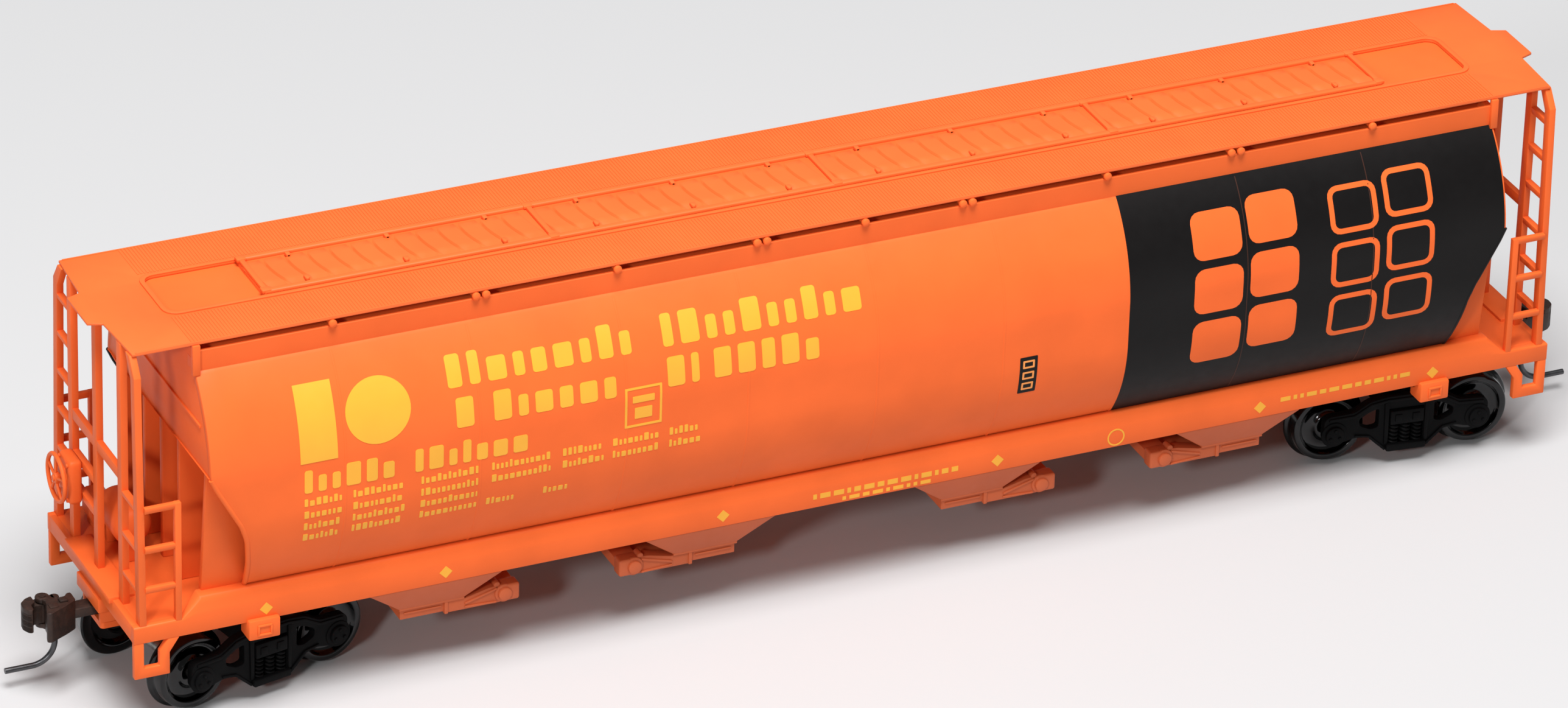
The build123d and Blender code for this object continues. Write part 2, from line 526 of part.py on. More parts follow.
def trip_wire():
    """Bent steel uncoupling wire, pressed into the knuckle's tail and curving down and out."""
    x, y = WIRE_TOP
    points = [(x, y, HEAD_LOW_Z + LUG + 1.7), (x, y, WIRE_LOW_Z), (WIRE_END_X, y, WIRE_LOW_Z)]
    path = FilletPolyline(*points, radius=WIRE_BEND_R)
    return sweep(Plane(origin=path @ 0, z_dir=path % 0) * Circle(WIRE_R), path=path)


def centering_spring():
    """Two bronze leaves in the coupler pocket that bring the shank back to the middle."""
    leaf = [(92.4, 2.35), (95.4, 1.25), (95.5, 1.4), (92.6, 2.45)]
    pair = plate_xy(leaf, 9.9, 11.1)
    return Compound(children=[pair.solid(), mirrored_y(pair).solid()])


def box_cover():
    cover = block(BOX_IN_X, BOX_OUT_X - 0.1, -BOX_Y, BOX_Y, 8.9, CAVITY_LOW_Z)
    cover = fillet(cover.edges().filter_by(Axis.Z), 0.5)
    return cover - rod_z(PIVOT_X, 0, 8, 10, SCREW_R)


def cover_screw():
    head = fillet(rod_z(PIVOT_X, 0, 8.4, 8.9, 1.25).edges().group_by(Axis.Z)[0], 0.2)
    head -= block(PIVOT_X - 1.5, PIVOT_X + 1.5, -0.15, 0.15, 8.3, 8.6)
    return head + rod_z(PIVOT_X, 0, 8.9, 12.5, SCREW_R)


# ---- trucks, drawn straight about the kingpin at x = 0 -----------------------------------------
def side_frame():
    """Cast-style side frame on the +Y side, with lightening holes, springs and bearing caps."""
    half = [(0, 2.1), (2.7, 2.1), (5.2, 4.3), (7.0, 4.6), (8.6, 4.1), (10.6, 4.1), (11.3, 4.8)]
    half += [(11.3, 7.4), (10.7, 8.0), (7.3, 8.4), (4.9, 9.6), (2.6, 10.2), (0, 10.2)]
    outline = half + [(-x, z) for x, z in reversed(half[1:-1])]
    frame = plate_xz(outline, SIDE_FRAME_IN, SIDE_FRAME_OUT)
    hole = [(4.1, 8.4), (6.4, 8.2), (6.3, 6.7), (4.9, 5.7), (4.1, 6.3)]
    for side in (-1, 1):
        frame -= plate_xz([(side * x, z) for x, z in hole], 9, 13)
        frame += rod_y(side * WHEELBASE / 2, SIDE_FRAME_OUT, CAP_OUT, AXLE_Z, 1.5)
        frame += rod_y(side * WHEELBASE / 2, CAP_OUT, CAP_OUT + 0.2, AXLE_Z, 1.2)
        for angle in (90, 210, 330):
            bolt_x = side * WHEELBASE / 2 + 0.75 * cos(radians(angle))
            bolt_z = AXLE_Z + 0.75 * sin(radians(angle))
            frame += rod_y(bolt_x, CAP_OUT + 0.2, CAP_OUT + 0.35, bolt_z, 0.25)
        ridge = [(2.9, 2.7), (5.2, 4.8), (7.0, 5.3), (7.0, 4.9), (5.4, 4.4), (2.9, 2.3)]
        frame += plate_xz([(side * x, z) for x, z in ridge], SIDE_FRAME_OUT, SIDE_FRAME_OUT + 0.25)
    frame -= block(-2.5, 2.5, 9, 13, 3.1, 8.3)
    frame += block(-2.5, 2.5, SIDE_FRAME_IN, SIDE_FRAME_IN + 0.4, 3.1, 8.3)
    for x in (-1.65, 0, 1.65):
        frame += rod_z(x, SIDE_FRAME_OUT - 0.6, 3.1, 5.9, 0.72)
    frame += block(-2.8, 2.8, SIDE_FRAME_IN, SIDE_FRAME_OUT + 0.7, 2.1, 3.1)
    frame += block(-2.3, 2.3, SIDE_FRAME_IN, SIDE_FRAME_OUT + 0.45, 5.9, 8.1)
    return frame


def truck_frame():
    """One-piece truck: two side frames joined by the bolster."""
    frame = both_sides(side_frame())
    frame += block(-BOLSTER_HALF, BOLSTER_HALF, -SIDE_FRAME_IN, SIDE_FRAME_IN, BOLSTER_LOW_Z, BOLSTER_TOP_Z)
    frame += rod_z(0, 0, BOLSTER_TOP_Z, CENTRE_PLATE_Z, CENTRE_PLATE_R)
    frame -= rod_z(0, 0, 5, 12, KINGPIN_R + RUN)
    frame -= rod_z(0, 0, 5, BOLSTER_LOW_Z + 1.2, 2.3)
    cup_end = AXLE_TIP_Y + 0.1
    cup = Cone(AXLE_R + 0.1, 0.1, cup_end - AXLE_SHOULDER_Y)
    cup_y = (cup_end + AXLE_SHOULDER_Y) / 2
    for side in (-1, 1):
        frame -= both_sides(Pos(side * WHEELBASE / 2, cup_y, AXLE_Z) * Rot(-90, 0, 0) * cup)
    return frame


def kingpin_screw():
    """Screw that holds the truck; its shank is the swivel pin."""
    head = rod_z(0, 0, BOLSTER_LOW_Z + 0.2, BOLSTER_LOW_Z + 1.1, 2.0)
    head -= block(-2.2, 2.2, -0.2, 0.2, BOLSTER_LOW_Z, BOLSTER_LOW_Z + 0.6)
    return head + rod_z(0, 0, BOLSTER_LOW_Z + 1.1, DECK_Z - 0.2, KINGPIN_R)


def axle():
    """Pinpoint axle along Y."""
    shaft = rod_y(0, -AXLE_SHOULDER_Y, AXLE_SHOULDER_Y, 0, AXLE_R)
    point = Cone(AXLE_R, 0.05, AXLE_TIP_Y - AXLE_SHOULDER_Y)
    tip = Pos(0, (AXLE_TIP_Y + AXLE_SHOULDER_Y) / 2, 0) * Rot(-90, 0, 0) * point
    return shaft + both_sides(tip)


def wheel(bore):
    """Dished steel wheel on the +Y side of its axle: flange, tread, rim, web and hub."""
    section = [(bore, 7.4), (1.9, 7.4), (2.3, 7.9), (3.7, 7.9), (4.1, WHEEL_BACK_Y), (5.2, WHEEL_BACK_Y)]
    section += [(FLANGE_R, 7.35), (FLANGE_R, 7.6), (5.2, FLANGE_FRONT_Y - 0.1)]
    section += [(TREAD_R, FLANGE_FRONT_Y + 0.1), (TREAD_R - 0.06, WHEEL_FACE_Y - 0.15)]
    section += [(TREAD_R - 0.2, WHEEL_FACE_Y), (3.95, WHEEL_FACE_Y), (3.7, 9.3), (3.2, 8.75)]
    section += [(2.2, 8.75), (1.9, 9.3), (1.7, 9.4), (bore, 9.4)]
    section = Polyline(*section, close=True)
    return revolve(Plane.XY * make_face(section), axis=Axis.Y)


def insulating_bush():
    return rod_y(0, 7.4, 9.4, 0, BUSH_R) - rod_y(0, 7, 10, 0, AXLE_R)


def placed_truck(end, shape):
    """Move a truck piece from the straight drawing to its place on the car."""
    x = TRUCK_X if end == "a" else -TRUCK_X
    return Pos(x, 0, 0) * Rot(0, 0, TRUCK_YAW[end]) * shape


# ---- write every node --------------------------------------------------------------------------
def write_body():
    save("body_shell", body_shell())
    save("underframe", underframe())
    save("running_board", running_board())
    save("trough_hatch", trough_hatch())
    save("running_board_pins", board_pins())
    save("ballast_weight", ballast_weight())
    save("ballast_screws", ballast_screws())
    for i in range(4):
        x = POCKET_FIRST_X + i * POCKET_PITCH
        save(f"hopper_pocket_{i + 1}", hopper_pocket(x))
        save(f"outlet_gate_{i + 1}", outlet_gate(x, 1 if i % 2 == 0 else -1))


def write_ends():
    frame_a = end_frame(-1)
    save("end_frame_a", frame_a)
    save("end_frame_b", half_turn(frame_a + brake_stand()))
    ladders = []
    for direction in (-1, 1):
        ladder = side_ladder(direction)
        ladders += [ladder.solid(), mirrored_y(ladder).solid()]
    save("side_ladders", Compound(children=ladders))
    save("brake_housing", brake_housing())
    save("brake_shaft", brake_shaft())
    save("brake_wheel", brake_wheel())
    save("air_reservoir", air_reservoir())
    save("brake_cylinder", brake_cylinder())
    save("control_valve", control_valve())


def write_couplers():
    pieces = {"coupler": coupler_body(), "knuckle": knuckle(), "knuckle_pin": knuckle_pin(),
              "trip_wire": trip_wire(), "centering_spring": centering_spring(),
              "coupler_box_cover": box_cover(), "cover_screw": cover_screw()}
    for name, shape in pieces.items():
        save(f"{name}_a", shape)
        save(f"{name}_b", half_turn(shape))


def write_trucks():
    frame, pin, shaft, bush = truck_frame(), kingpin_screw(), axle(), insulating_bush()
    plain_wheel, bushed_wheel = wheel(AXLE_R), wheel(BUSH_R)
    for end, numbers in (("b", (1, 2)), ("a", (3, 4))):
        save(f"truck_frame_{end}", placed_truck(end, frame))
        save(f"kingpin_screw_{end}", placed_truck(end, pin))
        for number, side in zip(numbers, (-1, 1)):
            spot = Pos(side * WHEELBASE / 2, 0, AXLE_Z)
            save(f"axle_{number}", placed_truck(end, spot * shaft))
            save(f"insulating_bush_{number}", placed_truck(end, spot * bush))
            save(f"wheel_{number}_left", placed_truck(end, spot * bushed_wheel))
            save(f"wheel_{number}_right", placed_truck(end, spot * mirrored_y(plain_wheel)))


write_body()
write_ends()
write_couplers()
write_trucks()
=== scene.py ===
"""Looks for an HO-scale covered hopper car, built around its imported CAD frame.

Shapes are drawn in millimetres in the CAD frame (+X to the A end, +Z up) and stored in metres.
"""

import json
import random
from math import atan2, cos, hypot, pi, radians, sin, sqrt

import bmesh
import bpy
from mathutils import Matrix, Vector


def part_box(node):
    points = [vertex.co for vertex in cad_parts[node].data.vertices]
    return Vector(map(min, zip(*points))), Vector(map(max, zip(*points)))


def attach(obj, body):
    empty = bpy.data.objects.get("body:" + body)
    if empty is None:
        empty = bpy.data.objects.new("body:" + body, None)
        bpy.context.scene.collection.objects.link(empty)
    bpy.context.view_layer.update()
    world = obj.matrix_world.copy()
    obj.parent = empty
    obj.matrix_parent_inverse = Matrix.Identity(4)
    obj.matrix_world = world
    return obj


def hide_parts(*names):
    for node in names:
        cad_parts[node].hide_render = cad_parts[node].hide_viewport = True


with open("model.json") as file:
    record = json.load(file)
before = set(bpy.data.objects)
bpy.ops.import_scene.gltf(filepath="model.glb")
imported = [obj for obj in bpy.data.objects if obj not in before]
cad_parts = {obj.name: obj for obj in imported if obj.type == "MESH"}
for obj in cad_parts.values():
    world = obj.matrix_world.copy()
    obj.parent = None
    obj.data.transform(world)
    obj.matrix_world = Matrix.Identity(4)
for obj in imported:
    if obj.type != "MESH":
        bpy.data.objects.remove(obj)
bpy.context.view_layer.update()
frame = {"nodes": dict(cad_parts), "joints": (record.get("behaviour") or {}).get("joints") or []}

MM = 0.001
joints = {joint["name"]: joint for joint in frame["joints"]}


def box_mm(node):
    """Lowest and highest corner of a CAD node, in millimetres."""
    low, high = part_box(node)
    return low / MM, high / MM


# ---- sizes read from the frame, and the car's own dimensions -----------------------------------
BOARD_LOW, BOARD_HIGH = box_mm("running_board")
HATCH_HIGH = box_mm("trough_hatch")[1]
POST_LOW, POST_HIGH = box_mm("end_frame_a")
POCKETS = [box_mm(f"hopper_pocket_{i}") for i in (1, 2, 3, 4)]

BODY_HALF = 87.5
SIDE_Y, SIDE_LOW_Z, SIDE_HIGH_Z = 17.75, 29.0, 35.5
FOOT_Y, FOOT_Z = 13.9, 18.0
EAVE_Y, EAVE_Z, ROOF_Z = 12.3, 47.8, 50.9
STRIP_TOP_Z, CAP_Y = 50.45, 10.2     # top of the eave strip, half-width of the roof cap behind it
SHEET = 1.1                # thickness of the side and end sheets
WALL_FOOT_Z = 35.2
WING_EDGE = ((BODY_HALF, WALL_FOOT_Z), (83.6, 28.2), (82.85, 26.0), (82.3, 22.0), (81.8, 17.0))
END_RIB_Y, END_RIB_Z = 14.4, 41.2
SLOPE_FOOT_X, SLOPE_SHEET, WEB_X = 67.7, 1.4, 87.2
LEAN_FOOT_Y, LEAN_TOP_Y, LEAN_TOP_Z, LEAN_IN_X = 13.0, 15.2, 33.0, 81.2     # leaning webs
SEAMS = (-70.3, -52.8, -33.6, -17.4, 0.0, 17.2, 34.3, 50.8, 68.5)
PANEL_X = 34.4             # straight edge of the black panel, on the -Y side

SILL_Y, SILL_LOW_Z = 15.1, 13.3
DECK_Z, DECK_LOW_Z = 15.64, 14.6
SILL_END_X, RAMP_OUT_X, RAMP_IN_X = 96.5, 90.2, 87.8
STEP_Y = 7.75

OPENING_X, OPENING_Y = 87.75, 4.78
GRATING_PITCH = 0.42
BOLSTER_X, CENTRE_SILL_Y = 79.9, 2.4
BOX_X, BOX_Y, BOX_LOW_Z = 87.0, 3.05, 9.7     # coupler box: inner end, half-width, underside
SHANK_X = 90.0                                # the coupler swings about this place

FRAME_X, FRAME_IN_X = POST_HIGH.x, POST_LOW.x
INNER_POST_Y, POST_WIDTH = 8.5, 1.4
CORNER_FOOT_Y, CORNER_TOP_Y, CORNER_BEND_Z = 15.0, 13.9, 49.0
RUNG_Z = (20.4, 25.9, 31.4, 36.7, 42.0, 47.2)
RUNG_HEIGHT, RAIL_LOW_Z = 0.85, 32.4
POST_BEVEL = 0.07
FOOT_IN_DECK_Z = DECK_Z - 0.2
STILE_OUT_X, STILE_IN_X = 91.1, 90.3

HALF_BASE = 9.85
TREAD_R, FLANGE_R = 4.8, 5.44
SIDE_FRAME_IN, SIDE_FRAME_OUT = 10.3, 11.5
AXLE_Z = FLANGE_R
SPRING_LOW_Z, SPRING_HIGH_Z = 3.1, 5.9

HEAD_Z, LUG, KNUCKLE_PIN = (8.5, 12.6), 0.65, (102.3, -1.2)
SHANK_Z = (9.85, 11.15)
NOSE_RISE, NOSE_RIDGES = 0.58, 4
WIRE_TOP, WIRE_BEND, WIRE_LOW_Z, WIRE_R = (100.5, -1.9), 3.0, 2.6, 0.37


# ---- mesh helpers, in millimetres --------------------------------------------------------------
AXES = {"X": lambda a, b, c: (c, a, b), "Y": lambda a, b, c: (a, c, b), "Z": lambda a, b, c: (a, b, c)}


def round_edges(bm, width, segments=2, sharper_than=30):
    """Bevel every edge that turns by more than the given angle."""
    if width <= 0:
        return bm
    limit = radians(sharper_than)
    edges = [e for e in bm.edges if e.is_manifold and e.calc_face_angle(0) > limit]
    bmesh.ops.bevel(bm, geom=edges, offset=width, segments=segments, profile=0.5, affect="EDGES",
                    clamp_overlap=True)
    return bm


def filled(bm, loops, place):
    """Fill the first outline, leaving the others open as holes."""
    edges = []
    for loop in loops:
        ring = [bm.verts.new(place(a, b)) for a, b in loop]
        edges += [bm.edges.new((ring[i - 1], ring[i])) for i in range(len(ring))]
    made = bmesh.ops.triangle_fill(bm, edges=edges, use_beauty=True)["geom"]
    return [f for f in made if isinstance(f, bmesh.types.BMFace)]


def prism(outline, axis, low, high, bevel=0.1, holes=(), segments=2):
    """A plate with a flat outline, run along an axis. X takes (y, z), Y takes (x, z), Z takes (x, y)."""
    place = AXES[axis]
    if not holes:
        return lofted([[place(a, b, h) for a, b in outline] for h in (low, high)], bevel, segments)
    bm = bmesh.new()
    faces = filled(bm, (outline, *holes), lambda a, b: place(a, b, low))
    grown = bmesh.ops.extrude_face_region(bm, geom=faces)["geom"]
    moved = [v for v in grown if isinstance(v, bmesh.types.BMVert)]
    bmesh.ops.translate(bm, verts=moved, vec=Vector(place(0, 0, high - low)))
    bmesh.ops.recalc_face_normals(bm, faces=bm.faces)
    return round_edges(bm, bevel, segments)


def slab(x0, x1, y0, y1, z0, z1, bevel=0.1, segments=2):
    """An upright box with rounded edges."""
    xs, ys = sorted((x0, x1)), sorted((y0, y1))
    outline = [(xs[0], ys[0]), (xs[1], ys[0]), (xs[1], ys[1]), (xs[0], ys[1])]
    return prism(outline, "Z", z0, z1, bevel, segments=segments)


def slabs(*rows):
    """One slab for each row of its sizes."""
    return [slab(*row) for row in rows]


def circle(steps):
    """Equal steps of one turn, in radians."""
    return [2 * pi * i / steps for i in range(steps)]


def turned(profile, centre=(0, 0, 0), axis="Y", steps=48):
    """A solid of revolution from (radius, height) points; a radius of 0 closes an end."""
    place = AXES[axis]
    bm = bmesh.new()
    rings = []
    for radius, height in profile:
        if radius < 1e-6:
            rings.append([bm.verts.new(place(0, 0, height))])
            continue
        rings.append([bm.verts.new(place(radius * cos(t), radius * sin(t), height))
                      for t in circle(steps)])
    for below, above in zip(rings, rings[1:] + rings[:1]):
        if len(below) == 1 and len(above) == 1:
            continue
        for i in range(steps):
            corners = [ring[k % len(ring)] for ring, k in
                       ((below, i), (below, i + 1), (above, i + 1), (above, i))]
            bm.faces.new(list(dict.fromkeys(corners)))
    bmesh.ops.recalc_face_normals(bm, faces=bm.faces)
    bmesh.ops.translate(bm, verts=bm.verts, vec=Vector(centre))
    return bm


def rod(centre, radius, low, high, axis="Y", steps=24, bevel=0.08):
    """A round rod along an axis, with softened ends. The centre's own coordinate on that axis is 0."""
    b = min(bevel, radius * 0.5)
    profile = [(0, low), (radius - b, low), (radius - b * 0.3, low + b * 0.3), (radius, low + b),
               (radius, high - b), (radius - b * 0.3, high - b * 0.3), (radius - b, high), (0, high)]
    return turned(profile, centre, axis, steps)


def tube(path, radius, sides=12):
    """A round wire along a list of points."""
    points = [Vector(p) for p in path]
    side = (points[1] - points[0]).orthogonal().normalized()
    rings = []
    for i, point in enumerate(points):
        ahead = points[min(i + 1, len(points) - 1)] - points[max(i - 1, 0)]
        ahead.normalize()
        side = (side - ahead * side.dot(ahead)).normalized()
        up = ahead.cross(side)
        rings.append([point + (side * cos(t) + up * sin(t)) * radius for t in circle(sides)])
    return lofted(rings)


def lofted(stations, bevel=0.0, segments=2):
    """A closed solid through rings of equal length, with flat ends."""
    bm = bmesh.new()
    rings = [[bm.verts.new(p) for p in ring] for ring in stations]
    for a, b in zip(rings, rings[1:]):
        for i in range(len(a)):
            bm.faces.new((a[i - 1], a[i], b[i], b[i - 1]))
    bm.faces.new(rings[0])
    bm.faces.new(rings[-1])
    bmesh.ops.recalc_face_normals(bm, faces=bm.faces)
    return round_edges(bm, bevel, segments)


def mirrored(bm):
    """A copy mirrored across the car's centre plane."""
    copy = bm.copy()
    bmesh.ops.scale(copy, vec=Vector((1, -1, 1)), verts=copy.verts)
    bmesh.ops.reverse_faces(copy, faces=copy.faces)
    return copy


def half_turned(part):
    """A copy at the car's other end and on its other side."""
    copy = part.copy()
    bmesh.ops.scale(copy, vec=Vector((-1, -1, 1)), verts=copy.verts)
    return copy


def both(*parts):
    """Parts with their copies on the other side of the car."""
    return [*parts, *(mirrored(part) for part in parts)]


def both_ends(*parts):
    """Parts with their half-turned copies."""
    return [*parts, *(half_turned(part) for part in parts)]


class Piece:
    """Closed parts gathered into one mesh, then placed, coloured and tied to a CAD body."""

    def __init__(self, place=None):
        self.parts = []
        self.place = place

    def add(self, *parts):
        self.parts += parts
        return self

    def both_sides(self, *parts):
        return self.add(*both(*parts))

    def make(self, name, material, replaces=(), body="car", slot="body_orange", sharp=38):
        """Store the piece in metres; edges that turn by more than the sharp angle stay crisp."""
        whole = bmesh.new()
        scratch = bpy.data.meshes.new("scratch")
        for part in self.parts:
            part.to_mesh(scratch)
            whole.from_mesh(scratch)
            part.free()
        bpy.data.meshes.remove(scratch)
        if self.place:
            bmesh.ops.transform(whole, matrix=self.place, verts=whole.verts)
        bmesh.ops.scale(whole, vec=Vector((MM, MM, MM)), verts=whole.verts)
        mesh = bpy.data.meshes.new(name)
        whole.to_mesh(mesh)
        whole.free()
        mesh.shade_smooth()
        mesh.set_sharp_from_angle(angle=radians(sharp))
        mesh.materials.append(material)
        piece = bpy.data.objects.new(name, mesh)
        bpy.context.scene.collection.objects.link(piece)
        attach(piece, body)
        if replaces:
            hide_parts(*replaces)
        return piece


# ---- materials ---------------------------------------------------------------------------------
def new_material(name, color, roughness, metallic=0.0, specular=0.5, coat=0.0):
    """A principled shader with its constant values set on its own sockets."""
    material = bpy.data.materials.new(name)
    material.use_nodes = True
    shader = material.node_tree.nodes["Principled BSDF"]
    shader.inputs["Base Color"].default_value = (*color, 1)
    shader.inputs["Roughness"].default_value = roughness
    shader.inputs["Metallic"].default_value = metallic
    shader.inputs["Specular IOR Level"].default_value = specular
    shader.inputs["Coat Weight"].default_value = coat
    return material, material.node_tree, shader


def noise(tree, scale, detail):
    """Noise in the object's own space; scale is in cells per metre."""
    where = tree.nodes.new("ShaderNodeTexCoord")
    grain = tree.nodes.new("ShaderNodeTexNoise")
    grain.inputs["Scale"].default_value = scale
    grain.inputs["Detail"].default_value = detail
    tree.links.new(where.outputs["Object"], grain.inputs["Vector"])
    return grain.outputs["Fac"]


def ramp(tree, source, low, high, low_at=0.3, high_at=0.7):
    """Spread a 0-1 value between two colours."""
    node = tree.nodes.new("ShaderNodeValToRGB")
    node.color_ramp.elements[0].position = low_at
    node.color_ramp.elements[1].position = high_at
    node.color_ramp.elements[0].color = (*low, 1)
    node.color_ramp.elements[1].color = (*high, 1)
    tree.links.new(source, node.inputs["Fac"])
    return node.outputs["Color"]


def spread(tree, source, low, high):
    """Map a 0-1 value to a range."""
    node = tree.nodes.new("ShaderNodeMapRange")
    node.inputs["To Min"].default_value = low
    node.inputs["To Max"].default_value = high
    tree.links.new(source, node.inputs["Value"])
    return node.outputs["Result"]


def bump(tree, shader, height, strength, depth_mm):
    """Fine relief that is too small to be geometry."""
    node = tree.nodes.new("ShaderNodeBump")
    node.inputs["Strength"].default_value = strength
    node.inputs["Distance"].default_value = depth_mm * MM
    tree.links.new(height, node.inputs["Height"])
    tree.links.new(node.outputs["Normal"], shader.inputs["Normal"])


def tints(color, variation):
    """A darker and a lighter form of a colour."""
    return [tuple(c * factor for c in color) for factor in (1 - variation, 1 + variation)]


def mottled(made, colors, color_noise, gloss, gloss_noise, relief_noise, relief):
    """Vary a new material's colour and gloss over noise, and give it fine relief."""
    material, tree, shader = made
    tree.links.new(ramp(tree, noise(tree, *color_noise), *colors), shader.inputs["Base Color"])
    tree.links.new(spread(tree, noise(tree, *gloss_noise), *gloss), shader.inputs["Roughness"])
    bump(tree, shader, noise(tree, *relief_noise), *relief)
    return material


def painted_plastic(name, color, roughness, variation=0.05, grain=0.012, specular=0.45):
    """Moulded plastic with a thin satin paint: faint mottling, fine orange peel and uneven gloss."""
    made = new_material(name, color, roughness, specular=specular)
    gloss = (roughness - 0.07, roughness + 0.09)
    return mottled(made, tints(color, variation), (120, 4), gloss, (700, 5), (5200, 2), (0.35, grain))


def turned_metal(name, color, roughness, coat=0.0):
    """Turned metal with fine lathe marks and rubbed patches."""
    made = new_material(name, color, roughness, metallic=1.0, coat=coat)
    gloss = (roughness - 0.06, roughness + 0.12)
    return mottled(made, tints(color, 0.25), (900, 5), gloss, (900, 5), (9000, 2), (0.2, 0.01))


def cast_metal(name, color, rust, roughness):
    """Cast metal with a brown chemical finish: pitted, with rust-coloured patches."""
    made = new_material(name, color, roughness, metallic=0.35)
    gloss = (roughness - 0.1, roughness + 0.12)
    colors = (color, rust, 0.42, 0.68)
    return mottled(made, colors, (1500, 6), gloss, (1500, 6), (4200, 6), (0.5, 0.05))


ORANGE = (0.80, 0.130, 0.026)
orange = painted_plastic("orange_plastic", ORANGE, 0.45, specular=0.15)
orange_roof = painted_plastic("orange_roof", ORANGE, 0.5, specular=0.3)
# Painted shade: a darker copy of the body orange for the outlet pockets and gates, which face down into the
# shade under the car.
painted_shade_orange = painted_plastic("orange_pockets_painted_shade", (0.52, 0.105, 0.035), 0.5, specular=0.25)
black_print = painted_plastic("black_print", (0.005, 0.0042, 0.0042), 0.45, 0.15, specular=0.16)
seam_brown = painted_plastic("seam_brown", (0.045, 0.016, 0.010), 0.5, specular=0.2)
yellow_print = painted_plastic("yellow_print", (0.80, 0.36, 0.025), 0.5)
pale_print = painted_plastic("pale_print", (0.80, 0.28, 0.06), 0.5)
truck_plastic = painted_plastic("truck_plastic", (0.003, 0.003, 0.0032), 0.5, 0.2, 0.03, 0.06)
wheel_metal = turned_metal("wheel_metal", (0.010, 0.010, 0.0105), 0.16, coat=0.6)
axle_metal = turned_metal("axle_metal", (0.36, 0.34, 0.32), 0.35)
coupler_metal = cast_metal("coupler_metal", (0.026, 0.014, 0.010), (0.042, 0.020, 0.013), 0.5)
wire_metal = turned_metal("wire_metal", (0.10, 0.10, 0.105), 0.35)
bronze = turned_metal("spring_bronze", (0.62, 0.40, 0.18), 0.3)
screw_metal = turned_metal("screw_steel", (0.5, 0.49, 0.47), 0.35)
ballast_metal = turned_metal("ballast_steel", (0.34, 0.33, 0.32), 0.5)
bush_plastic = painted_plastic("bush_plastic", (0.02, 0.02, 0.02), 0.5)


# ---- body profile ------------------------------------------------------------------------------
def arc_through(start, middle, end, steps):
    """Points on the circle through three (y, z) points."""
    (ax, ay), (bx, by), (cx, cy) = start, middle, end
    d = 2 * (ax * (by - cy) + bx * (cy - ay) + cx * (ay - by))
    aa, bb, cc = ax * ax + ay * ay, bx * bx + by * by, cx * cx + cy * cy
    ux = (aa * (by - cy) + bb * (cy - ay) + cc * (ay - by)) / d
    uy = (aa * (cx - bx) + bb * (ax - cx) + cc * (bx - ax)) / d
    radius = hypot(ax - ux, ay - uy)
    a0, a1 = atan2(ay - uy, ax - ux), atan2(cy - uy, cx - ux)
    turn = [a0 + (a1 - a0) * i / steps for i in range(steps + 1)]
    return [(ux + radius * cos(t), uy + radius * sin(t)) for t in turn]


def side_profile():
    """(y, z) points up one side of the body, from the sill to the eave."""
    lower = arc_through((FOOT_Y, FOOT_Z), (SIDE_Y - 1.1, 23.2), (SIDE_Y, SIDE_LOW_Z), 18)
    flat = [(SIDE_Y, SIDE_LOW_Z + (SIDE_HIGH_Z - SIDE_LOW_Z) * k / 4) for k in (1, 2, 3)]
    upper = arc_through((SIDE_Y, SIDE_HIGH_Z), (SIDE_Y - 1.85, 42.6), (EAVE_Y, EAVE_Z), 22)
    return lower + flat + upper


PROFILE = side_profile()


def profile_frames():
    """For each profile point: (y, z), the outward normal, and the length run from the foot."""
    frames, run = [], 0.0
    for i, (y, z) in enumerate(PROFILE):
        before, after = PROFILE[max(i - 1, 0)], PROFILE[min(i + 1, len(PROFILE) - 1)]
        ty, tz = after[0] - before[0], after[1] - before[1]
        length = hypot(ty, tz)
        run += hypot(y - before[0], z - before[1]) if i else 0
        frames.append((y, z, tz / length, -ty / length, run))
    return frames


FRAMES = profile_frames()
GIRTH = FRAMES[-1][4]


def on_side(s, lift=0.0):
    """(y, z) at a length s up the profile, lifted off the surface by lift."""
    s = min(max(s, 0.0), GIRTH)
    for a, b in zip(FRAMES, FRAMES[1:]):
        if s <= b[4]:
            k = (s - a[4]) / (b[4] - a[4])
            y, z, ny, nz = (a[i] + (b[i] - a[i]) * k for i in range(4))
            return y + ny * lift, z + nz * lift
    return FRAMES[-1][0], FRAMES[-1][1]


def run_at(z):
    """Length up the profile at a height z."""
    for a, b in zip(FRAMES, FRAMES[1:]):
        if z <= b[1]:
            return a[4] + (b[4] - a[4]) * (z - a[1]) / (b[1] - a[1])
    return GIRTH


def half_width(z):
    """Half-width of the body's outside at a height z."""
    return on_side(run_at(z))[0]


def wing_x(z):
    """Where the side sheet ends at a height z, with its knee rounded."""
    if z >= WALL_FOOT_Z:
        return BODY_HALF
    for (x1, z1), (x0, z0) in zip(WING_EDGE, WING_EDGE[1:]):
        if z >= z0:
            return x0 + (x1 - x0) * (z - z0) / (z1 - z0)
    return WING_EDGE[-1][0]


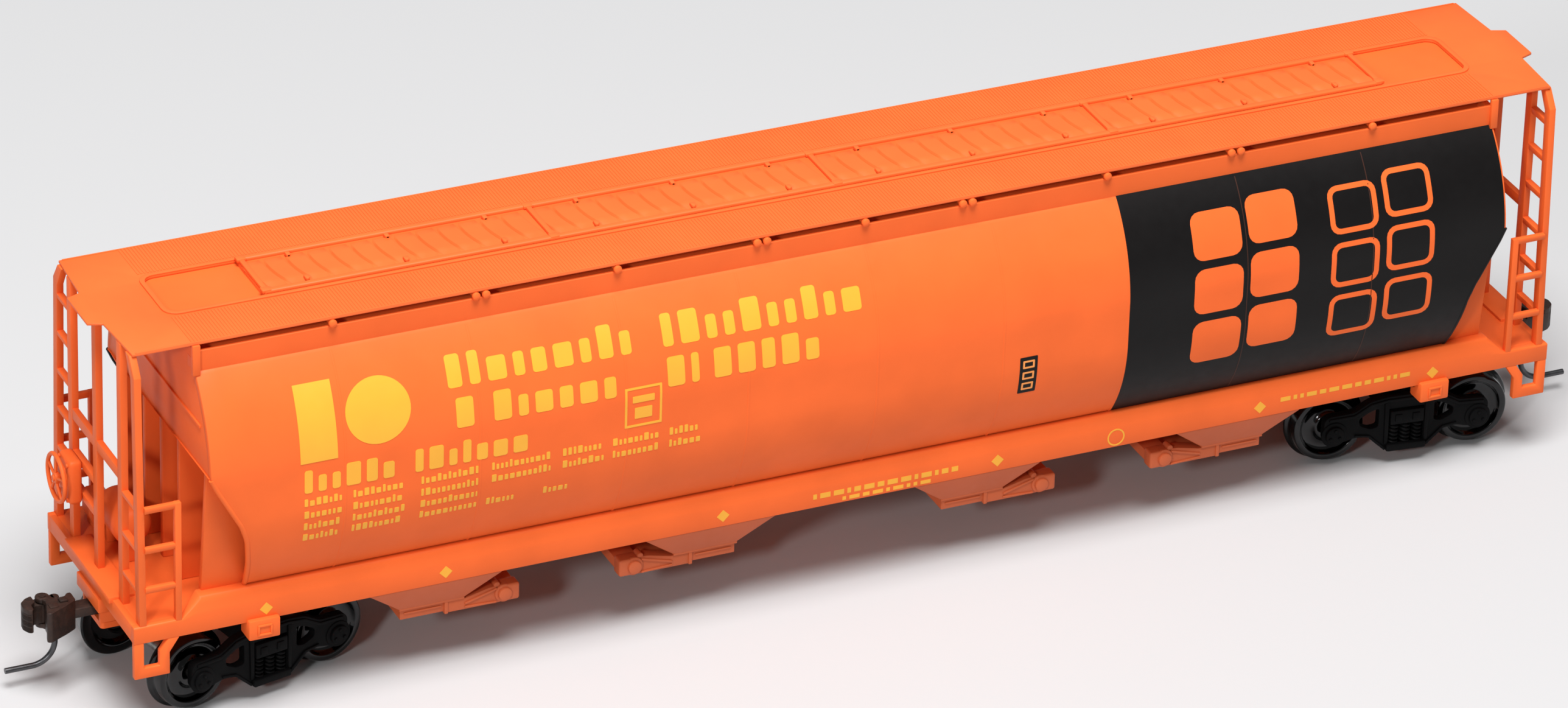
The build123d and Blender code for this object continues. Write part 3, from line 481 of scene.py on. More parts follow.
# ---- body --------------------------------------------------------------------------------------
def side_sheet():
    """The +Y side: a thick curved sheet whose ends follow the slope sheets."""
    straight, columns, end_shares = 78.0, 52, (0.35, 0.7, 1.0)
    inner_columns = [-straight + 2 * straight * i / columns for i in range(columns + 1)]
    bm = bmesh.new()
    skins = []
    for depth in (0.0, SHEET):
        rows = []
        for y, z, ny, nz, _ in FRAMES:
            edge = wing_x(z)
            ends = [straight + (edge - straight) * k for k in end_shares]
            xs = [-x for x in reversed(ends)] + inner_columns + ends
            rows.append([bm.verts.new((x, y - ny * depth, z - nz * depth)) for x in xs])
        skins.append(rows)
    outer, inner = skins
    for rows in skins:
        for a, b in zip(rows, rows[1:]):
            for i in range(len(a) - 1):
                bm.faces.new((a[i], a[i + 1], b[i + 1], b[i]))
    for i in range(len(outer[0]) - 1):
        for j in (0, -1):
            bm.faces.new((outer[j][i], outer[j][i + 1], inner[j][i + 1], inner[j][i]))
    for j in range(len(outer) - 1):
        for i in (0, -1):
            bm.faces.new((outer[j][i], outer[j + 1][i], inner[j + 1][i], inner[j][i]))
    bmesh.ops.recalc_face_normals(bm, faces=bm.faces)
    return round_edges(bm, 0.22, 2, 45)


def seam(x, rise=0.035, width=0.26):
    """A weld line up the +Y side."""
    section = ((-width, -0.2), (-width / 2, rise * 0.7), (0, rise), (width / 2, rise * 0.7), (width, -0.2))
    stations = []
    for y, z, ny, nz, _ in FRAMES[:-1]:
        stations.append([(x + dx, y + ny * h, z + nz * h) for dx, h in section])
    return lofted(stations)


def end_edge_bead(direction):
    """Rounded lip along one slanted end of the +Y side sheet."""
    path = []
    for y, z, ny, nz, _ in FRAMES:
        if z < WALL_FOOT_Z + 0.5:
            path.append((direction * (wing_x(z) - 0.12), y - ny * 0.25, z - nz * 0.25))
    return tube(path, 0.36, 10)


def end_wall(direction):
    """Flat end wall between the two side sheets, above the slope sheet, with one weld rib across it."""
    ys = [(y - 0.15, z) for y, z, *_ in FRAMES if z > WALL_FOOT_Z]
    half = [(half_width(WALL_FOOT_Z) - 0.15, WALL_FOOT_Z)] + ys
    half += [(EAVE_Y - 0.2, STRIP_TOP_Z - 0.1), (CAP_Y + 0.6, STRIP_TOP_Z - 0.1), (CAP_Y, ROOF_Z)]
    outline = half + [(-y, z) for y, z in reversed(half)]
    x0, x1 = sorted((direction * (BODY_HALF - SHEET), direction * (BODY_HALF - 0.03)))
    rib_x = [direction * (BODY_HALF + out) for out in (-0.3, 0.2)]
    rib = slab(*rib_x, -END_RIB_Y, END_RIB_Y, END_RIB_Z - 0.2, END_RIB_Z + 0.2, 0.06)
    return [prism(outline, "X", x0, x1, 0.18), rib]


def slope_sheet(direction):
    """Sloping sheet from the foot of the end wall down to the deck."""
    stations = []
    rows = 14
    for k in range(rows + 1):
        z = DECK_Z + (WALL_FOOT_Z + 0.4 - DECK_Z) * k / rows
        half = half_width(max(z, FOOT_Z)) - 0.5 if z > FOOT_Z else FOOT_Y - 1.0
        x = SLOPE_FOOT_X + z - DECK_Z
        stations.append([(direction * x, half, z), (direction * x, -half, z),
                         (direction * (x - SLOPE_SHEET), -half, z),
                         (direction * (x - SLOPE_SHEET), half, z)])
    return lofted(stations)


def gussets(direction):
    """Upright webs under the slope sheet: three square to the car and two that lean with its sides."""
    top = DECK_Z + WEB_X - SLOPE_FOOT_X
    outline = [(direction * x, z) for x, z in ((SLOPE_FOOT_X, DECK_Z), (WEB_X, DECK_Z), (WEB_X, top))]
    middle, side = prism(outline, "Y", -0.5, 0.5, 0.12), prism(outline, "Y", 5.4, 6.3, 0.12)
    lean = (LEAN_TOP_Y - LEAN_FOOT_Y) / (LEAN_TOP_Z - DECK_Z)
    corners = ((WEB_X, DECK_Z), (WEB_X, top), (LEAN_IN_X, DECK_Z + LEAN_IN_X - SLOPE_FOOT_X),
               (LEAN_IN_X, DECK_Z))
    rings = [[(direction * x, LEAN_FOOT_Y + lean * (z - DECK_Z) - t, z) for x, z in corners]
             for t in (0, 0.9)]
    return [middle, *both(side, lofted(rings, 0.12))]


def roof_parts():
    """Flat roof, the thin eave strips beside it, and the shallow floor under the walk's opening."""
    parts = [slab(-BODY_HALF + 0.2, BODY_HALF - 0.2, -CAP_Y, CAP_Y, EAVE_Z + 0.4, ROOF_Z, 0.1)]
    outer, floor_z = EAVE_Y + 0.2, 49.0
    strip = [(EAVE_Y + 0.1, EAVE_Z - 0.3), (outer, EAVE_Z + 0.5), (outer, STRIP_TOP_Z - 0.08)]
    strip += [(outer - 0.08, STRIP_TOP_Z), (outer - 0.38, STRIP_TOP_Z), (outer - 0.45, floor_z)]
    strip += [(CAP_Y - 0.1, floor_z), (CAP_Y - 0.1, EAVE_Z - 0.3)]
    parts += both(prism(strip, "X", -BODY_HALF, BODY_HALF, 0.0))
    half_x, half_y = OPENING_X + 0.7, OPENING_Y + 0.4
    parts.append(slab(-half_x, half_x, -half_y, half_y, ROOF_Z - 0.1, BOARD_LOW.z - 0.03, 0.0))
    return parts


def corner_tab():
    """Upright strap that ties the running board to one top corner of the body."""
    x, low = BODY_HALF - 0.1, EAVE_Z - 0.5
    outline = [(x - 0.5, low), (x + 0.5, low), (x + 0.5, BOARD_LOW.z), (x - 0.5, BOARD_LOW.z)]
    return prism(outline, "Y", EAVE_Y, EAVE_Y + 0.65, 0.12)


def build_body():
    """Side sheets with their seams, the two ends, and the roof."""
    sides = Piece().both_sides(side_sheet())
    for x in SEAMS:
        if x < PANEL_X:
            sides.add(*both_ends(mirrored(seam(x))))
    sides.add(end_edge_bead(1), mirrored(end_edge_bead(-1)))
    sides.make("body_sides", orange, ["body_shell"])
    ends = Piece()
    for direction in (-1, 1):
        ends.add(*end_wall(direction), slope_sheet(direction), *gussets(direction))
    ends.make("body_ends", orange, ["body_shell"])
    roof = Piece().add(*roof_parts(), *both_ends(*both(corner_tab())))
    roof.make("body_roof", orange, ["body_shell"])


# ---- underframe --------------------------------------------------------------------------------
def sill_section(low_top):
    """(y, z) ring of the +Y side sill; low_top gives the plain, lower form at the car's ends."""
    ring = [(SILL_Y - 1, SILL_LOW_Z), (SILL_Y, SILL_LOW_Z), (SILL_Y, 15.0)]
    if low_top:
        return (ring + [(SILL_Y, 15.3), (SILL_Y, 15.5), (SILL_Y - 0.05, DECK_Z - 0.04)]
                + [(SILL_Y - inset, DECK_Z) for inset in (0.15, 0.3, 0.45, 1)])
    return ring + [(SILL_Y, 15.8), (SILL_Y - 0.08, 16.3), (SILL_Y - 0.3, 17.1), (SILL_Y - 0.42, 17.7),
                   (SILL_Y - 0.62, 17.95), (SILL_Y - 0.95, 18.0), (FOOT_Y - SHEET, 18.0)]


def side_sill():
    """+Y side sill, with its ramps down to the end sections."""
    places = [(-SILL_END_X, True), (-RAMP_OUT_X, True), (-RAMP_IN_X, False)]
    places += [(-x, low) for x, low in reversed(places)]
    stations = [[(x, y, z) for y, z in sill_section(low)] for x, low in places]
    return lofted(stations, 0.12)


def stirrup():
    """A-end corner step under the +Y sill."""
    rail = [(96.46, 13.35), (96.46, 8.4), (91.9, 8.4), (91.9, 11.4), (90.6, 13.35), (92.1, 13.35)]
    rail += [(93.2, 11.7), (93.2, 9.8), (95.2, 9.8), (95.2, 13.35)]
    return prism(rail, "Y", SILL_Y - 0.9, SILL_Y - 0.02, 0.14)


def bolster_pad():
    """A-end jacking pad with a small framed recess on its face."""
    x = BOLSTER_X + 0.05
    parts = [slab(x - 2.05, x + 2.05, 12.9, SILL_Y + 0.7, 11.0, 13.7, 0.25)]
    for sign in (1, -1):
        for dx, dz, w, h in ((0, 0.62, 0.95, 0.14), (-0.82, 0, 0.14, 0.62)):
            mid_x, z = x + sign * dx, 12.3 + sign * dz
            parts.append(slab(mid_x - w, mid_x + w, SILL_Y + 0.6, SILL_Y + 0.9, z - h, z + h, 0.08))
    return parts


def end_platform():
    """A-end sill, crossover step and coupler pocket."""
    half = SILL_Y - 0.04
    parts = slabs((95.55, SILL_END_X - 0.01, -half, half, SILL_LOW_Z + 0.02, DECK_Z - 0.015, 0.14),
                  (93.6, 96.98, -STEP_Y, STEP_Y, DECK_Z - 0.5, DECK_Z + 0.35, 0.14),
                  (95.4, 96.9, -3.8, 3.8, 11.6, SILL_LOW_Z + 0.2, 0.16),
                  (BOX_X, 96.4, -BOX_Y, BOX_Y, 11.3, DECK_LOW_Z + 0.1, 0.16),
                  (BOX_X, 87.7, -2.6, 2.6, BOX_LOW_Z, 11.5, 0.1))
    walls = both(slab(BOX_X, 96.4, 2.5, BOX_Y, BOX_LOW_Z, 11.5, 0.1))
    return parts + walls + [rod((SHANK_X, 0, 0), 1.1, BOX_LOW_Z, 11.4, "Z")]


def deck_planks():
    """Deck floor, bolsters, centre sill and the open bays between the pockets."""
    half_x, half_y = SILL_END_X - 0.3, SILL_Y - 0.6
    parts = [slab(-half_x, half_x, -half_y, half_y, DECK_LOW_Z, DECK_Z - 0.04, 0.08)]
    half, top = CENTRE_SILL_Y, DECK_LOW_Z + 0.1
    beams = slabs((BOLSTER_X - 2.0, BOLSTER_X + 2.0, -14.2, 14.2, 12.3, top, 0.15),
                  (67.5, WEB_X, -half, half, 12.3, top, 0.15))
    parts += both_ends(*beams, rod((BOLSTER_X, 0, 0), 3.3, 11.5, DECK_LOW_Z, "Z", 40, 0.2))
    for (_, before), (after, _) in zip(POCKETS, POCKETS[1:]):
        parts.append(slab(before.x - 0.3, after.x + 0.3, -half, half, 11.6, top, 0.15))
    return parts


def build_underframe():
    """Sills with stirrups and jacking pads, and the deck between them."""
    sills = Piece().both_sides(side_sill()).add(*both_ends(*both(stirrup(), *bolster_pad())))
    sills.make("side_sills", orange, ["underframe"])
    deck = Piece().add(*both_ends(*end_platform()), *deck_planks())
    deck.make("deck", orange, ["underframe"])


def build_pockets():
    """Tapered outlet pockets, rounded at their corners."""
    for i, (low, high) in enumerate(POCKETS):
        x = (low.x + high.x) / 2
        shape = Piece()
        rings = []
        for half, y, z in ((4.1, 13.3, low.z), (9.0, SILL_Y - 0.05, SILL_LOW_Z + 0.05)):
            rings.append([(x - half, -y, z), (x + half, -y, z), (x + half, y, z), (x - half, y, z)])
        shape.add(lofted(rings, 0.3, 3))
        shape.both_sides(slab(x - 4.3, x + 4.3, 12.9, 13.42, low.z, low.z + 0.35, 0.08))
        # The pockets take the darker orange, which is painted shade.
        shape.make(f"outlet_pocket_{i + 1}", painted_shade_orange, [f"hopper_pocket_{i + 1}"])


def gate_parts():
    """One sliding gate with its frame, side arms, ribs and operating heads, pointing to +X."""
    parts = slabs((-4.1, 1.8, -13.1, 13.1, 8.0, 9.4, 0.12), (1.7, 8.8, -12.4, 12.4, 8.1, 8.9, 0.1),
                  (8.6, 11.5, -12.3, 12.3, 8.3, 9.8, 0.15), (1.7, 2.2, -13.35, 13.35, 7.7, 9.5, 0.1))
    arm = [(1.8, 7.75), (9.2, 7.75), (9.2, 10.2), (7.6, 10.1), (4.6, 9.4), (1.8, 9.4)]
    rib = [(4.4, 8.5), (8.6, 9.7), (8.6, 10.0), (4.4, 8.8)]
    brace = [(4.4, 8.3), (8.6, 8.1), (8.6, 7.85), (4.4, 8.05)]
    side = [prism(arm, "Y", 11.6, 13.2, 0.15), prism(rib, "Y", 13.0, 13.42, 0.08)]
    side.append(prism(brace, "Y", 13.0, 13.38, 0.08))
    side += slabs((8.9, 11.6, 11.6, 13.5, 7.9, 10.2, 0.3, 3), (-3.6, 1.3, 12.8, 13.28, 8.75, 9.0, 0.08))
    head = (9.6, 0, 9.05)
    side += [rod(head, 1.25, 12.9, 13.42, "Y", 28, 0.15), rod(head, 0.9, 13.2, 13.88, "Y", 24, 0.2)]
    side.append(rod((8.7, 0, 10.25), 0.42, 11.8, 13.2, "Y", 16, 0.12))
    return parts + both(*side)


def build_gates():
    """One gate under each pocket; every second one slides the other way."""
    for i, (low, high) in enumerate(POCKETS):
        middle = Matrix.Translation(((low.x + high.x) / 2, 0, 0))
        shape = Piece(middle @ Matrix.Rotation(pi * (i % 2), 4, "Z")).add(*gate_parts())
        # The gates take the darker orange, which is painted shade.
        shape.make(f"sliding_gate_{i + 1}", painted_shade_orange, [f"outlet_gate_{i + 1}"])


# ---- roof --------------------------------------------------------------------------------------
def board_outline():
    """(x, y) outline of the roof walk, with its ends cut back in two steps."""
    quarter = [(95.4, BOARD_HIGH.y), (95.9, 4.1), (BOARD_HIGH.x, 3.4)]
    outline = quarter + [(x, -y) for x, y in reversed(quarter)]
    return outline + [(-x, y) for x, y in reversed(outline)]


def rounded_rectangle(half_x, half_y, radius, steps=5):
    """Outline of a rectangle about the origin, with rounded corners."""
    corners = ((1, 1, 0), (-1, 1, 90), (-1, -1, 180), (1, -1, 270))
    points = []
    for sx, sy, start in corners:
        for k in range(steps + 1):
            t = radians(start + 90 * k / steps)
            points.append((sx * (half_x - radius) + radius * cos(t),
                           sy * (half_y - radius) + radius * sin(t)))
    return points


def build_running_board():
    """Roof walk: a plate with a rounded opening, fine cross grating and a soft raised lip."""
    low, top = BOARD_LOW.z, BOARD_LOW.z + 0.4
    opening = rounded_rectangle(OPENING_X, OPENING_Y, 1.5)
    lip = rounded_rectangle(OPENING_X + 0.6, OPENING_Y + 0.6, 1.9)
    board = Piece().add(prism(board_outline(), "Z", low, top - 0.06, 0.07, [opening]))
    board.add(prism(lip, "Z", top - 0.1, BOARD_HIGH.z, 0.09, [opening]))
    inner, outer = OPENING_Y + 0.95, BOARD_HIGH.y - 0.12
    count = int(2 * OPENING_X / GRATING_PITCH)
    for i in range(count + 1):
        x = -OPENING_X + i * GRATING_PITCH
        bar = slab(x - 0.12, x + 0.12, inner, outer, top - 0.1, top, 0.0)
        board.both_sides(bar)
    board.both_sides(slab(-95.0, 95.0, outer - 0.12, outer + 0.1, top - 0.1, top + 0.03, 0.03))
    board.make("roof_walk", orange_roof, ["running_board"])


def hatch_panel(x, half, inner_y, z0, z1):
    """One low pillow between two corrugations, domed across the hatch."""
    stations = []
    for k in range(9):
        y = -inner_y + 2 * inner_y * k / 8
        edge = abs(2 * k / 8 - 1)
        rise = (z1 - z0) * sqrt(max(0.0, 1 - edge ** 6))
        width = half * (1 - 0.12 * edge ** 4)
        middle = x - 0.16 * y - 0.5 * (1 - edge ** 2)
        stations.append([(middle - width, y, z0), (middle - width * 0.86, y, z0 + rise * 0.85),
                         (middle, y, z0 + rise), (middle + width * 0.86, y, z0 + rise * 0.85),
                         (middle + width, y, z0)])
    return lofted(stations)


def build_hatch():
    """Trough hatch in four lengths: corrugated panels, long edge beads, joints and latches."""
    half_x, half_y, top = HATCH_HIGH.x - 0.2, OPENING_Y - 0.02, HATCH_HIGH.z - 0.17
    hatch = Piece().add(slab(-half_x, half_x, -half_y, half_y, ROOF_Z, top - 0.45, 0.1))
    hatch.both_sides(slab(-half_x, half_x, half_y - 0.85, half_y, top - 0.6, top, 0.22, 3))
    section = 2 * half_x / 4
    panels, lug_top = 13, HATCH_HIGH.z - 0.05
    for s in range(4):
        start = -half_x + s * section
        for r in range(panels):
            x = start + 0.5 + (r + 0.5) * (section - 1.2) / panels
            hatch.add(hatch_panel(x, section / panels * 0.45, half_y - 1.1, top - 0.46, top - 0.12))
        for latch in (0.16, 0.5, 0.84):
            x = start + latch * section
            hatch.both_sides(slab(x - 0.3, x + 0.3, 2.7, 3.6, top - 0.3, lug_top, 0.12),
                             rod((x, 0, top - 0.13), 0.22, 2.7, 3.7, "Y", 12))
    for s in range(5):
        x = min(max(-half_x + s * section, -half_x + 0.35), half_x - 0.35)
        hatch.add(slab(x - 0.35, x + 0.35, -half_y + 0.06, half_y - 0.06, top - 0.5, top - 0.03, 0.12))
        hatch.both_sides(slab(x - 0.6, x + 0.6, half_y - 1.1, half_y - 0.03, top - 0.4, top + 0.06, 0.12))
    hatch.make("hatch_cover", orange_roof, ["trough_hatch"])


def build_pins():
    """Round-nosed pins under the edge of the roof walk, single and double by turns."""
    places = (0, 33.0, 70.0, 13.2, 14.5, 50.2, 51.5)
    pins = Piece()
    high = box_mm("running_board_pins")[1].y
    for x in sorted({*places, *(-p for p in places)}):
        nose = [(0, CAP_Y), (0.4, CAP_Y), (0.4, EAVE_Y + 0.1), (0.5, EAVE_Y + 0.2), (0.54, high - 0.3)]
        nose += [(0.46, high - 0.12), (0.28, high - 0.03), (0, high)]
        pins.both_sides(turned(nose, (x, 0, 50.84), "Y", 20))
    pins.make("roof_walk_pins", orange, ["running_board_pins"])


# ---- ends of the car ---------------------------------------------------------------------------
def corner_post():
    """Corner post of the end frame: leans out to its foot, bends in to the roof walk."""
    outline = [(CORNER_FOOT_Y, FOOT_IN_DECK_Z), (CORNER_TOP_Y, CORNER_BEND_Z), (12.3, BOARD_LOW.z)]
    outline += [(10.9, BOARD_LOW.z), (CORNER_TOP_Y - 1.3, CORNER_BEND_Z - 0.6)]
    outline += [(CORNER_FOOT_Y - 1.3, FOOT_IN_DECK_Z)]
    return prism(outline, "X", FRAME_IN_X, FRAME_X, POST_BEVEL)


def corner_inside(z):
    """Inner edge of the corner post at a height z."""
    lean = (CORNER_FOOT_Y - CORNER_TOP_Y) / (CORNER_BEND_Z - DECK_Z)
    return CORNER_FOOT_Y - 1.3 - lean * (z - DECK_Z)


def end_frame_parts():
    """Posts, rungs and rail of the A-end frame; the ladder on the -Y side goes to the top."""
    x0, x1, half = FRAME_IN_X, FRAME_X, POST_WIDTH / 2
    parts = both(corner_post())
    for y in (-INNER_POST_Y, 0, INNER_POST_Y):
        parts.append(slab(x0, x1, y - half, y + half, FOOT_IN_DECK_Z, BOARD_LOW.z, POST_BEVEL))
    for z in RUNG_Z:
        tread = [(x0 + 0.02, z), (x1 - 0.02, z), (x1 - 0.02, z - 0.55), (x1 - 0.2, z - RUNG_HEIGHT)]
        tread += [(x0 + 0.1, z - RUNG_HEIGHT)]
        rung = prism(tread, "Y", INNER_POST_Y, corner_inside(z) + 0.3, 0.05)
        parts += both(rung) if z < RAIL_LOW_Z else [mirrored(rung)]
    parts.append(slab(x0 + 0.1, x1 - 0.03, -INNER_POST_Y, INNER_POST_Y, RAIL_LOW_Z, 33.8, POST_BEVEL))
    return parts


def brake_straps():
    """Two flat straps across the frame that carry the brake housing."""
    x0, x1 = FRAME_IN_X + 0.03, FRAME_X - 0.03
    return [slab(x0, x1, -INNER_POST_Y, 0, z - 0.5, z + 0.5, POST_BEVEL) for z in (23.2, 27.6)]


def build_end_frames():
    """Both end cages; the B end's also carries the brake housing."""
    Piece().add(*end_frame_parts()).make("end_cage_a", orange, ["end_frame_a"])
    b_end = [half_turned(part) for part in end_frame_parts() + brake_straps()]
    Piece().add(*b_end).make("end_cage_b", orange, ["end_frame_b"])


def build_side_ladders():
    """Four short ladders on the sides, between each corner post and its own stile."""
    ladder = [slab(STILE_IN_X, STILE_OUT_X, 14.3, SILL_Y - 0.02, FOOT_IN_DECK_Z, RUNG_Z[2] + 0.4,
                   POST_BEVEL)]
    for z in RUNG_Z[:3]:
        tread = [(14.35, z + 0.38), (SILL_Y - 0.05, z + 0.38), (SILL_Y - 0.05, z - 0.1)]
        tread += [(SILL_Y - 0.25, z - 0.45), (14.4, z - 0.45)]
        ladder.append(prism(tread, "X", STILE_IN_X + 0.1, FRAME_IN_X + 0.1, 0.05))
    Piece().add(*both_ends(*both(*ladder))).make("side_steps", orange, ["side_ladders"])


def build_hand_brake():
    """Hand-brake housing with its bolts, and the five-spoked wheel on its shaft."""
    low, high = box_mm("brake_wheel")
    y, z = (low.y + high.y) / 2, (low.z + high.z) / 2
    wheel_x, radius = (low.x + high.x) / 2, (high.z - low.z) / 2
    back = box_mm("brake_housing")[1].x
    housing = Piece().add(slab(back - 1.8, back, y - 2.1, y + 1.9, z - 3.2, z + 2.8, 0.55, 3))
    housing.add(rod((0, y, z), 1.5, back - 2.05, back - 1.6, "X", 32, 0.15))
    housing.add(slab(back - 1.95, back - 1.5, y - 0.5, y + 0.5, z - 2.9, z - 1.2, 0.15))
    for bolt in ((-1.5, 2.2), (1.3, 2.2), (-1.5, -2.6), (1.3, -2.6)):
        housing.add(rod((0, y + bolt[0], z + bolt[1]), 0.28, back - 2.0, back - 1.7, "X", 12))
    housing.make("brake_gear_case", orange, ["brake_housing"])
    wheel = Piece()
    turn = [2 * pi * i / 48 for i in range(49)]
    rim = radius - 0.3
    wheel.add(tube([(wheel_x, y + rim * cos(t), z + rim * sin(t)) for t in turn], 0.28, 12))
    wheel.add(rod((0, y, z), 0.75, wheel_x - 0.34, wheel_x + 0.34, "X", 24, 0.15))
    for i in range(5):
        t = 2 * pi * i / 5 + pi / 2
        spoke = [(wheel_x - 0.1 + 0.15 * k / 4, y + r * cos(t), z + r * sin(t))
                 for k, r in enumerate((0.5, 1.2, 1.9, 2.5, rim))]
        wheel.add(tube(spoke, 0.19, 10))
    wheel.make("hand_wheel", orange, ["brake_wheel"], "brake_wheel")


def build_air_tank():
    """Domed air tank on two saddles, on the B-end deck."""
    low, high = box_mm("air_reservoir")
    r = (high.x - low.x) / 2
    axis_x, axis_z = (low.x + high.x) / 2, high.z - r
    dome = [(0, low.y), (1.2, low.y + 0.12), (2.0, low.y + 0.5), (r, low.y + 1.2), (r, high.y - 1.2)]
    dome += [(2.0, high.y - 0.5), (1.2, high.y - 0.12), (0, high.y)]
    tank = Piece().add(turned(dome, (axis_x, 0, axis_z), "Y", 40))
    for strap_y in (low.y + 1.6, high.y - 1.4):
        tank.add(slab(axis_x - 1.2, axis_x + 1.2, strap_y - 0.4, strap_y + 0.4, DECK_Z, axis_z - 1.5, 0.1))
    tank.make("air_tank", orange, ["air_reservoir"])


# ---- trucks, drawn straight about the kingpin --------------------------------------------------
def rounded_outline(points, radius, steps=3):
    """Replace each corner of an outline by a short curve."""
    made = []
    for i, corner in enumerate(points):
        corner = Vector(corner)
        before = (Vector(points[i - 1]) - corner)
        after = (Vector(points[(i + 1) % len(points)]) - corner)
        a = corner + before.normalized() * min(radius, before.length * 0.45)
        b = corner + after.normalized() * min(radius, after.length * 0.45)
        for k in range(steps + 1):
            t = k / steps
            made.append(tuple(a * (1 - t) ** 2 + corner * 2 * t * (1 - t) + b * t * t))
    return made


def spring(x, y, low, high, radius, wire=0.16, turns=5):
    """A coil spring standing in the truck."""
    steps = turns * 12
    path = []
    for i in range(steps + 1):
        t = 2 * pi * i / 12
        path.append((x + radius * cos(t), y + radius * sin(t), low + (high - low) * i / steps))
    return tube(path, wire, 6)


def side_frame_parts():
    """The +Y side frame with its openings, ribs, springs, bearing caps and bolts."""
    half = [(2.7, 2.1), (5.0, 4.3), (7.0, 4.55), (8.4, 4.15), (10.6, 4.1), (11.25, 4.7)]
    half += [(11.25, 7.4), (10.7, 8.0), (7.2, 8.2), (5.0, 9.5), (2.6, 9.9)]
    outline = half + [(-x, z) for x, z in reversed(half)]
    window = [(2.4, 3.1), (2.4, 8.1), (-2.4, 8.1), (-2.4, 3.1)]
    hole = [(3.8, 8.4), (5.0, 8.1), (6.5, 7.2), (6.4, 6.2), (4.9, 5.5), (3.8, 5.7)]
    holes = [window, rounded_outline(hole, 0.35), rounded_outline([(-x, z) for x, z in hole], 0.35)]
    parts = [prism(rounded_outline(outline, 0.5), "Y", SIDE_FRAME_IN, SIDE_FRAME_OUT, 0.1, holes)]
    parts.append(slab(-2.5, 2.5, SIDE_FRAME_IN + 0.02, SIDE_FRAME_IN + 0.4, 3.0, 8.3, 0.05))
    for x in (-1.6, 0, 1.6):
        y = SIDE_FRAME_OUT - 0.45
        parts.append(spring(x, y, SPRING_LOW_Z, SPRING_HIGH_Z, 0.62))
        parts.append(rod((x, y, 0), 0.42, SPRING_LOW_Z, SPRING_HIGH_Z, "Z", 16))
    back = SIDE_FRAME_IN + 0.03
    parts += slabs((-2.7, 2.7, back, SIDE_FRAME_OUT + 0.6, 2.12, SPRING_LOW_Z, 0.2),
                   (-2.3, 2.3, back, SIDE_FRAME_OUT + 0.4, SPRING_HIGH_Z, 7.9, 0.18))
    for x in (-1.2, 1.2):
        parts.append(slab(x - 0.5, x + 0.5, SIDE_FRAME_OUT + 0.3, SIDE_FRAME_OUT + 0.55, 6.35, 7.4, 0.1))
    right = [(2.6, 9.6), (5.0, 9.2), (7.2, 7.9), (10.6, 7.75)]
    top_rib = [(-x, z) for x, z in reversed(right)] + right
    top_rib += [(x, z - 0.4) for x, z in reversed(top_rib)]
    parts.append(prism(top_rib, "Y", SIDE_FRAME_OUT - 0.05, SIDE_FRAME_OUT + 0.2, 0.08))
    for side in (-1, 1):
        parts += end_of_side_frame(side)
    return parts


def end_of_side_frame(side):
    """Lower rib, column, bearing cap and bolts at one axle."""
    x = side * HALF_BASE
    ridge = [(2.7, 2.55), (5.0, 4.7), (7.0, 5.0), (7.0, 4.7), (5.2, 4.4), (2.9, 2.25)]
    column = [(2.45, 3.1), (2.95, 3.1), (3.1, 9.1), (2.45, 9.3)]
    parts = []
    for rib in (ridge, column):
        outline = [(side * a, b) for a, b in rib]
        parts.append(prism(outline, "Y", SIDE_FRAME_OUT - 0.05, SIDE_FRAME_OUT + 0.22, 0.07))
    parts.append(rod((x, 0, AXLE_Z), 1.75, SIDE_FRAME_OUT - 0.1, SIDE_FRAME_OUT + 0.16, "Y", 40, 0.12))
    parts.append(rod((x, 0, AXLE_Z), 1.25, SIDE_FRAME_OUT, SIDE_FRAME_OUT + 0.55, "Y", 36, 0.18))
    for angle in (90, 210, 330):
        t = radians(angle)
        bolt = (x + 0.75 * cos(t), 0, AXLE_Z + 0.75 * sin(t))
        parts.append(rod(bolt, 0.24, SIDE_FRAME_OUT, SIDE_FRAME_OUT + 0.7, "Y", 6, 0.04))
    return parts


def truck_place(end):
    """Where a straight truck stands: its kingpin and its yaw, read from its joints."""
    number = 1 if end == "b" else 3
    spot = Vector(joints[f"truck_{end}_swivel"]["pos_m"]) / MM
    axis = joints[f"wheelset_{number}_roll"]["axis"]
    return Matrix.Translation((spot.x, spot.y, 0)) @ Matrix.Rotation(atan2(-axis[0], axis[1]), 4, "Z")


def build_truck(end):
    """Side frames and bolster of one truck."""
    truck = Piece(truck_place(end)).both_sides(*side_frame_parts())
    bolster = [(-2.3, 6.0), (2.3, 6.0), (2.3, 10.5), (1.9, 10.9), (-1.9, 10.9), (-2.3, 10.5)]
    truck.add(prism(bolster, "Y", -SIDE_FRAME_IN, SIDE_FRAME_IN, 0.12))
    truck.add(rod((0, 0, 0), 3.0, 10.7, 11.4, "Z", 40, 0.12))
    truck.both_sides(rod((0, 6.3, 0), 0.8, 10.8, 11.2, "Z", 20))
    truck.make(f"truck_{end}_casting", truck_plastic, [f"truck_frame_{end}"], f"truck_{end}", "truck_black")


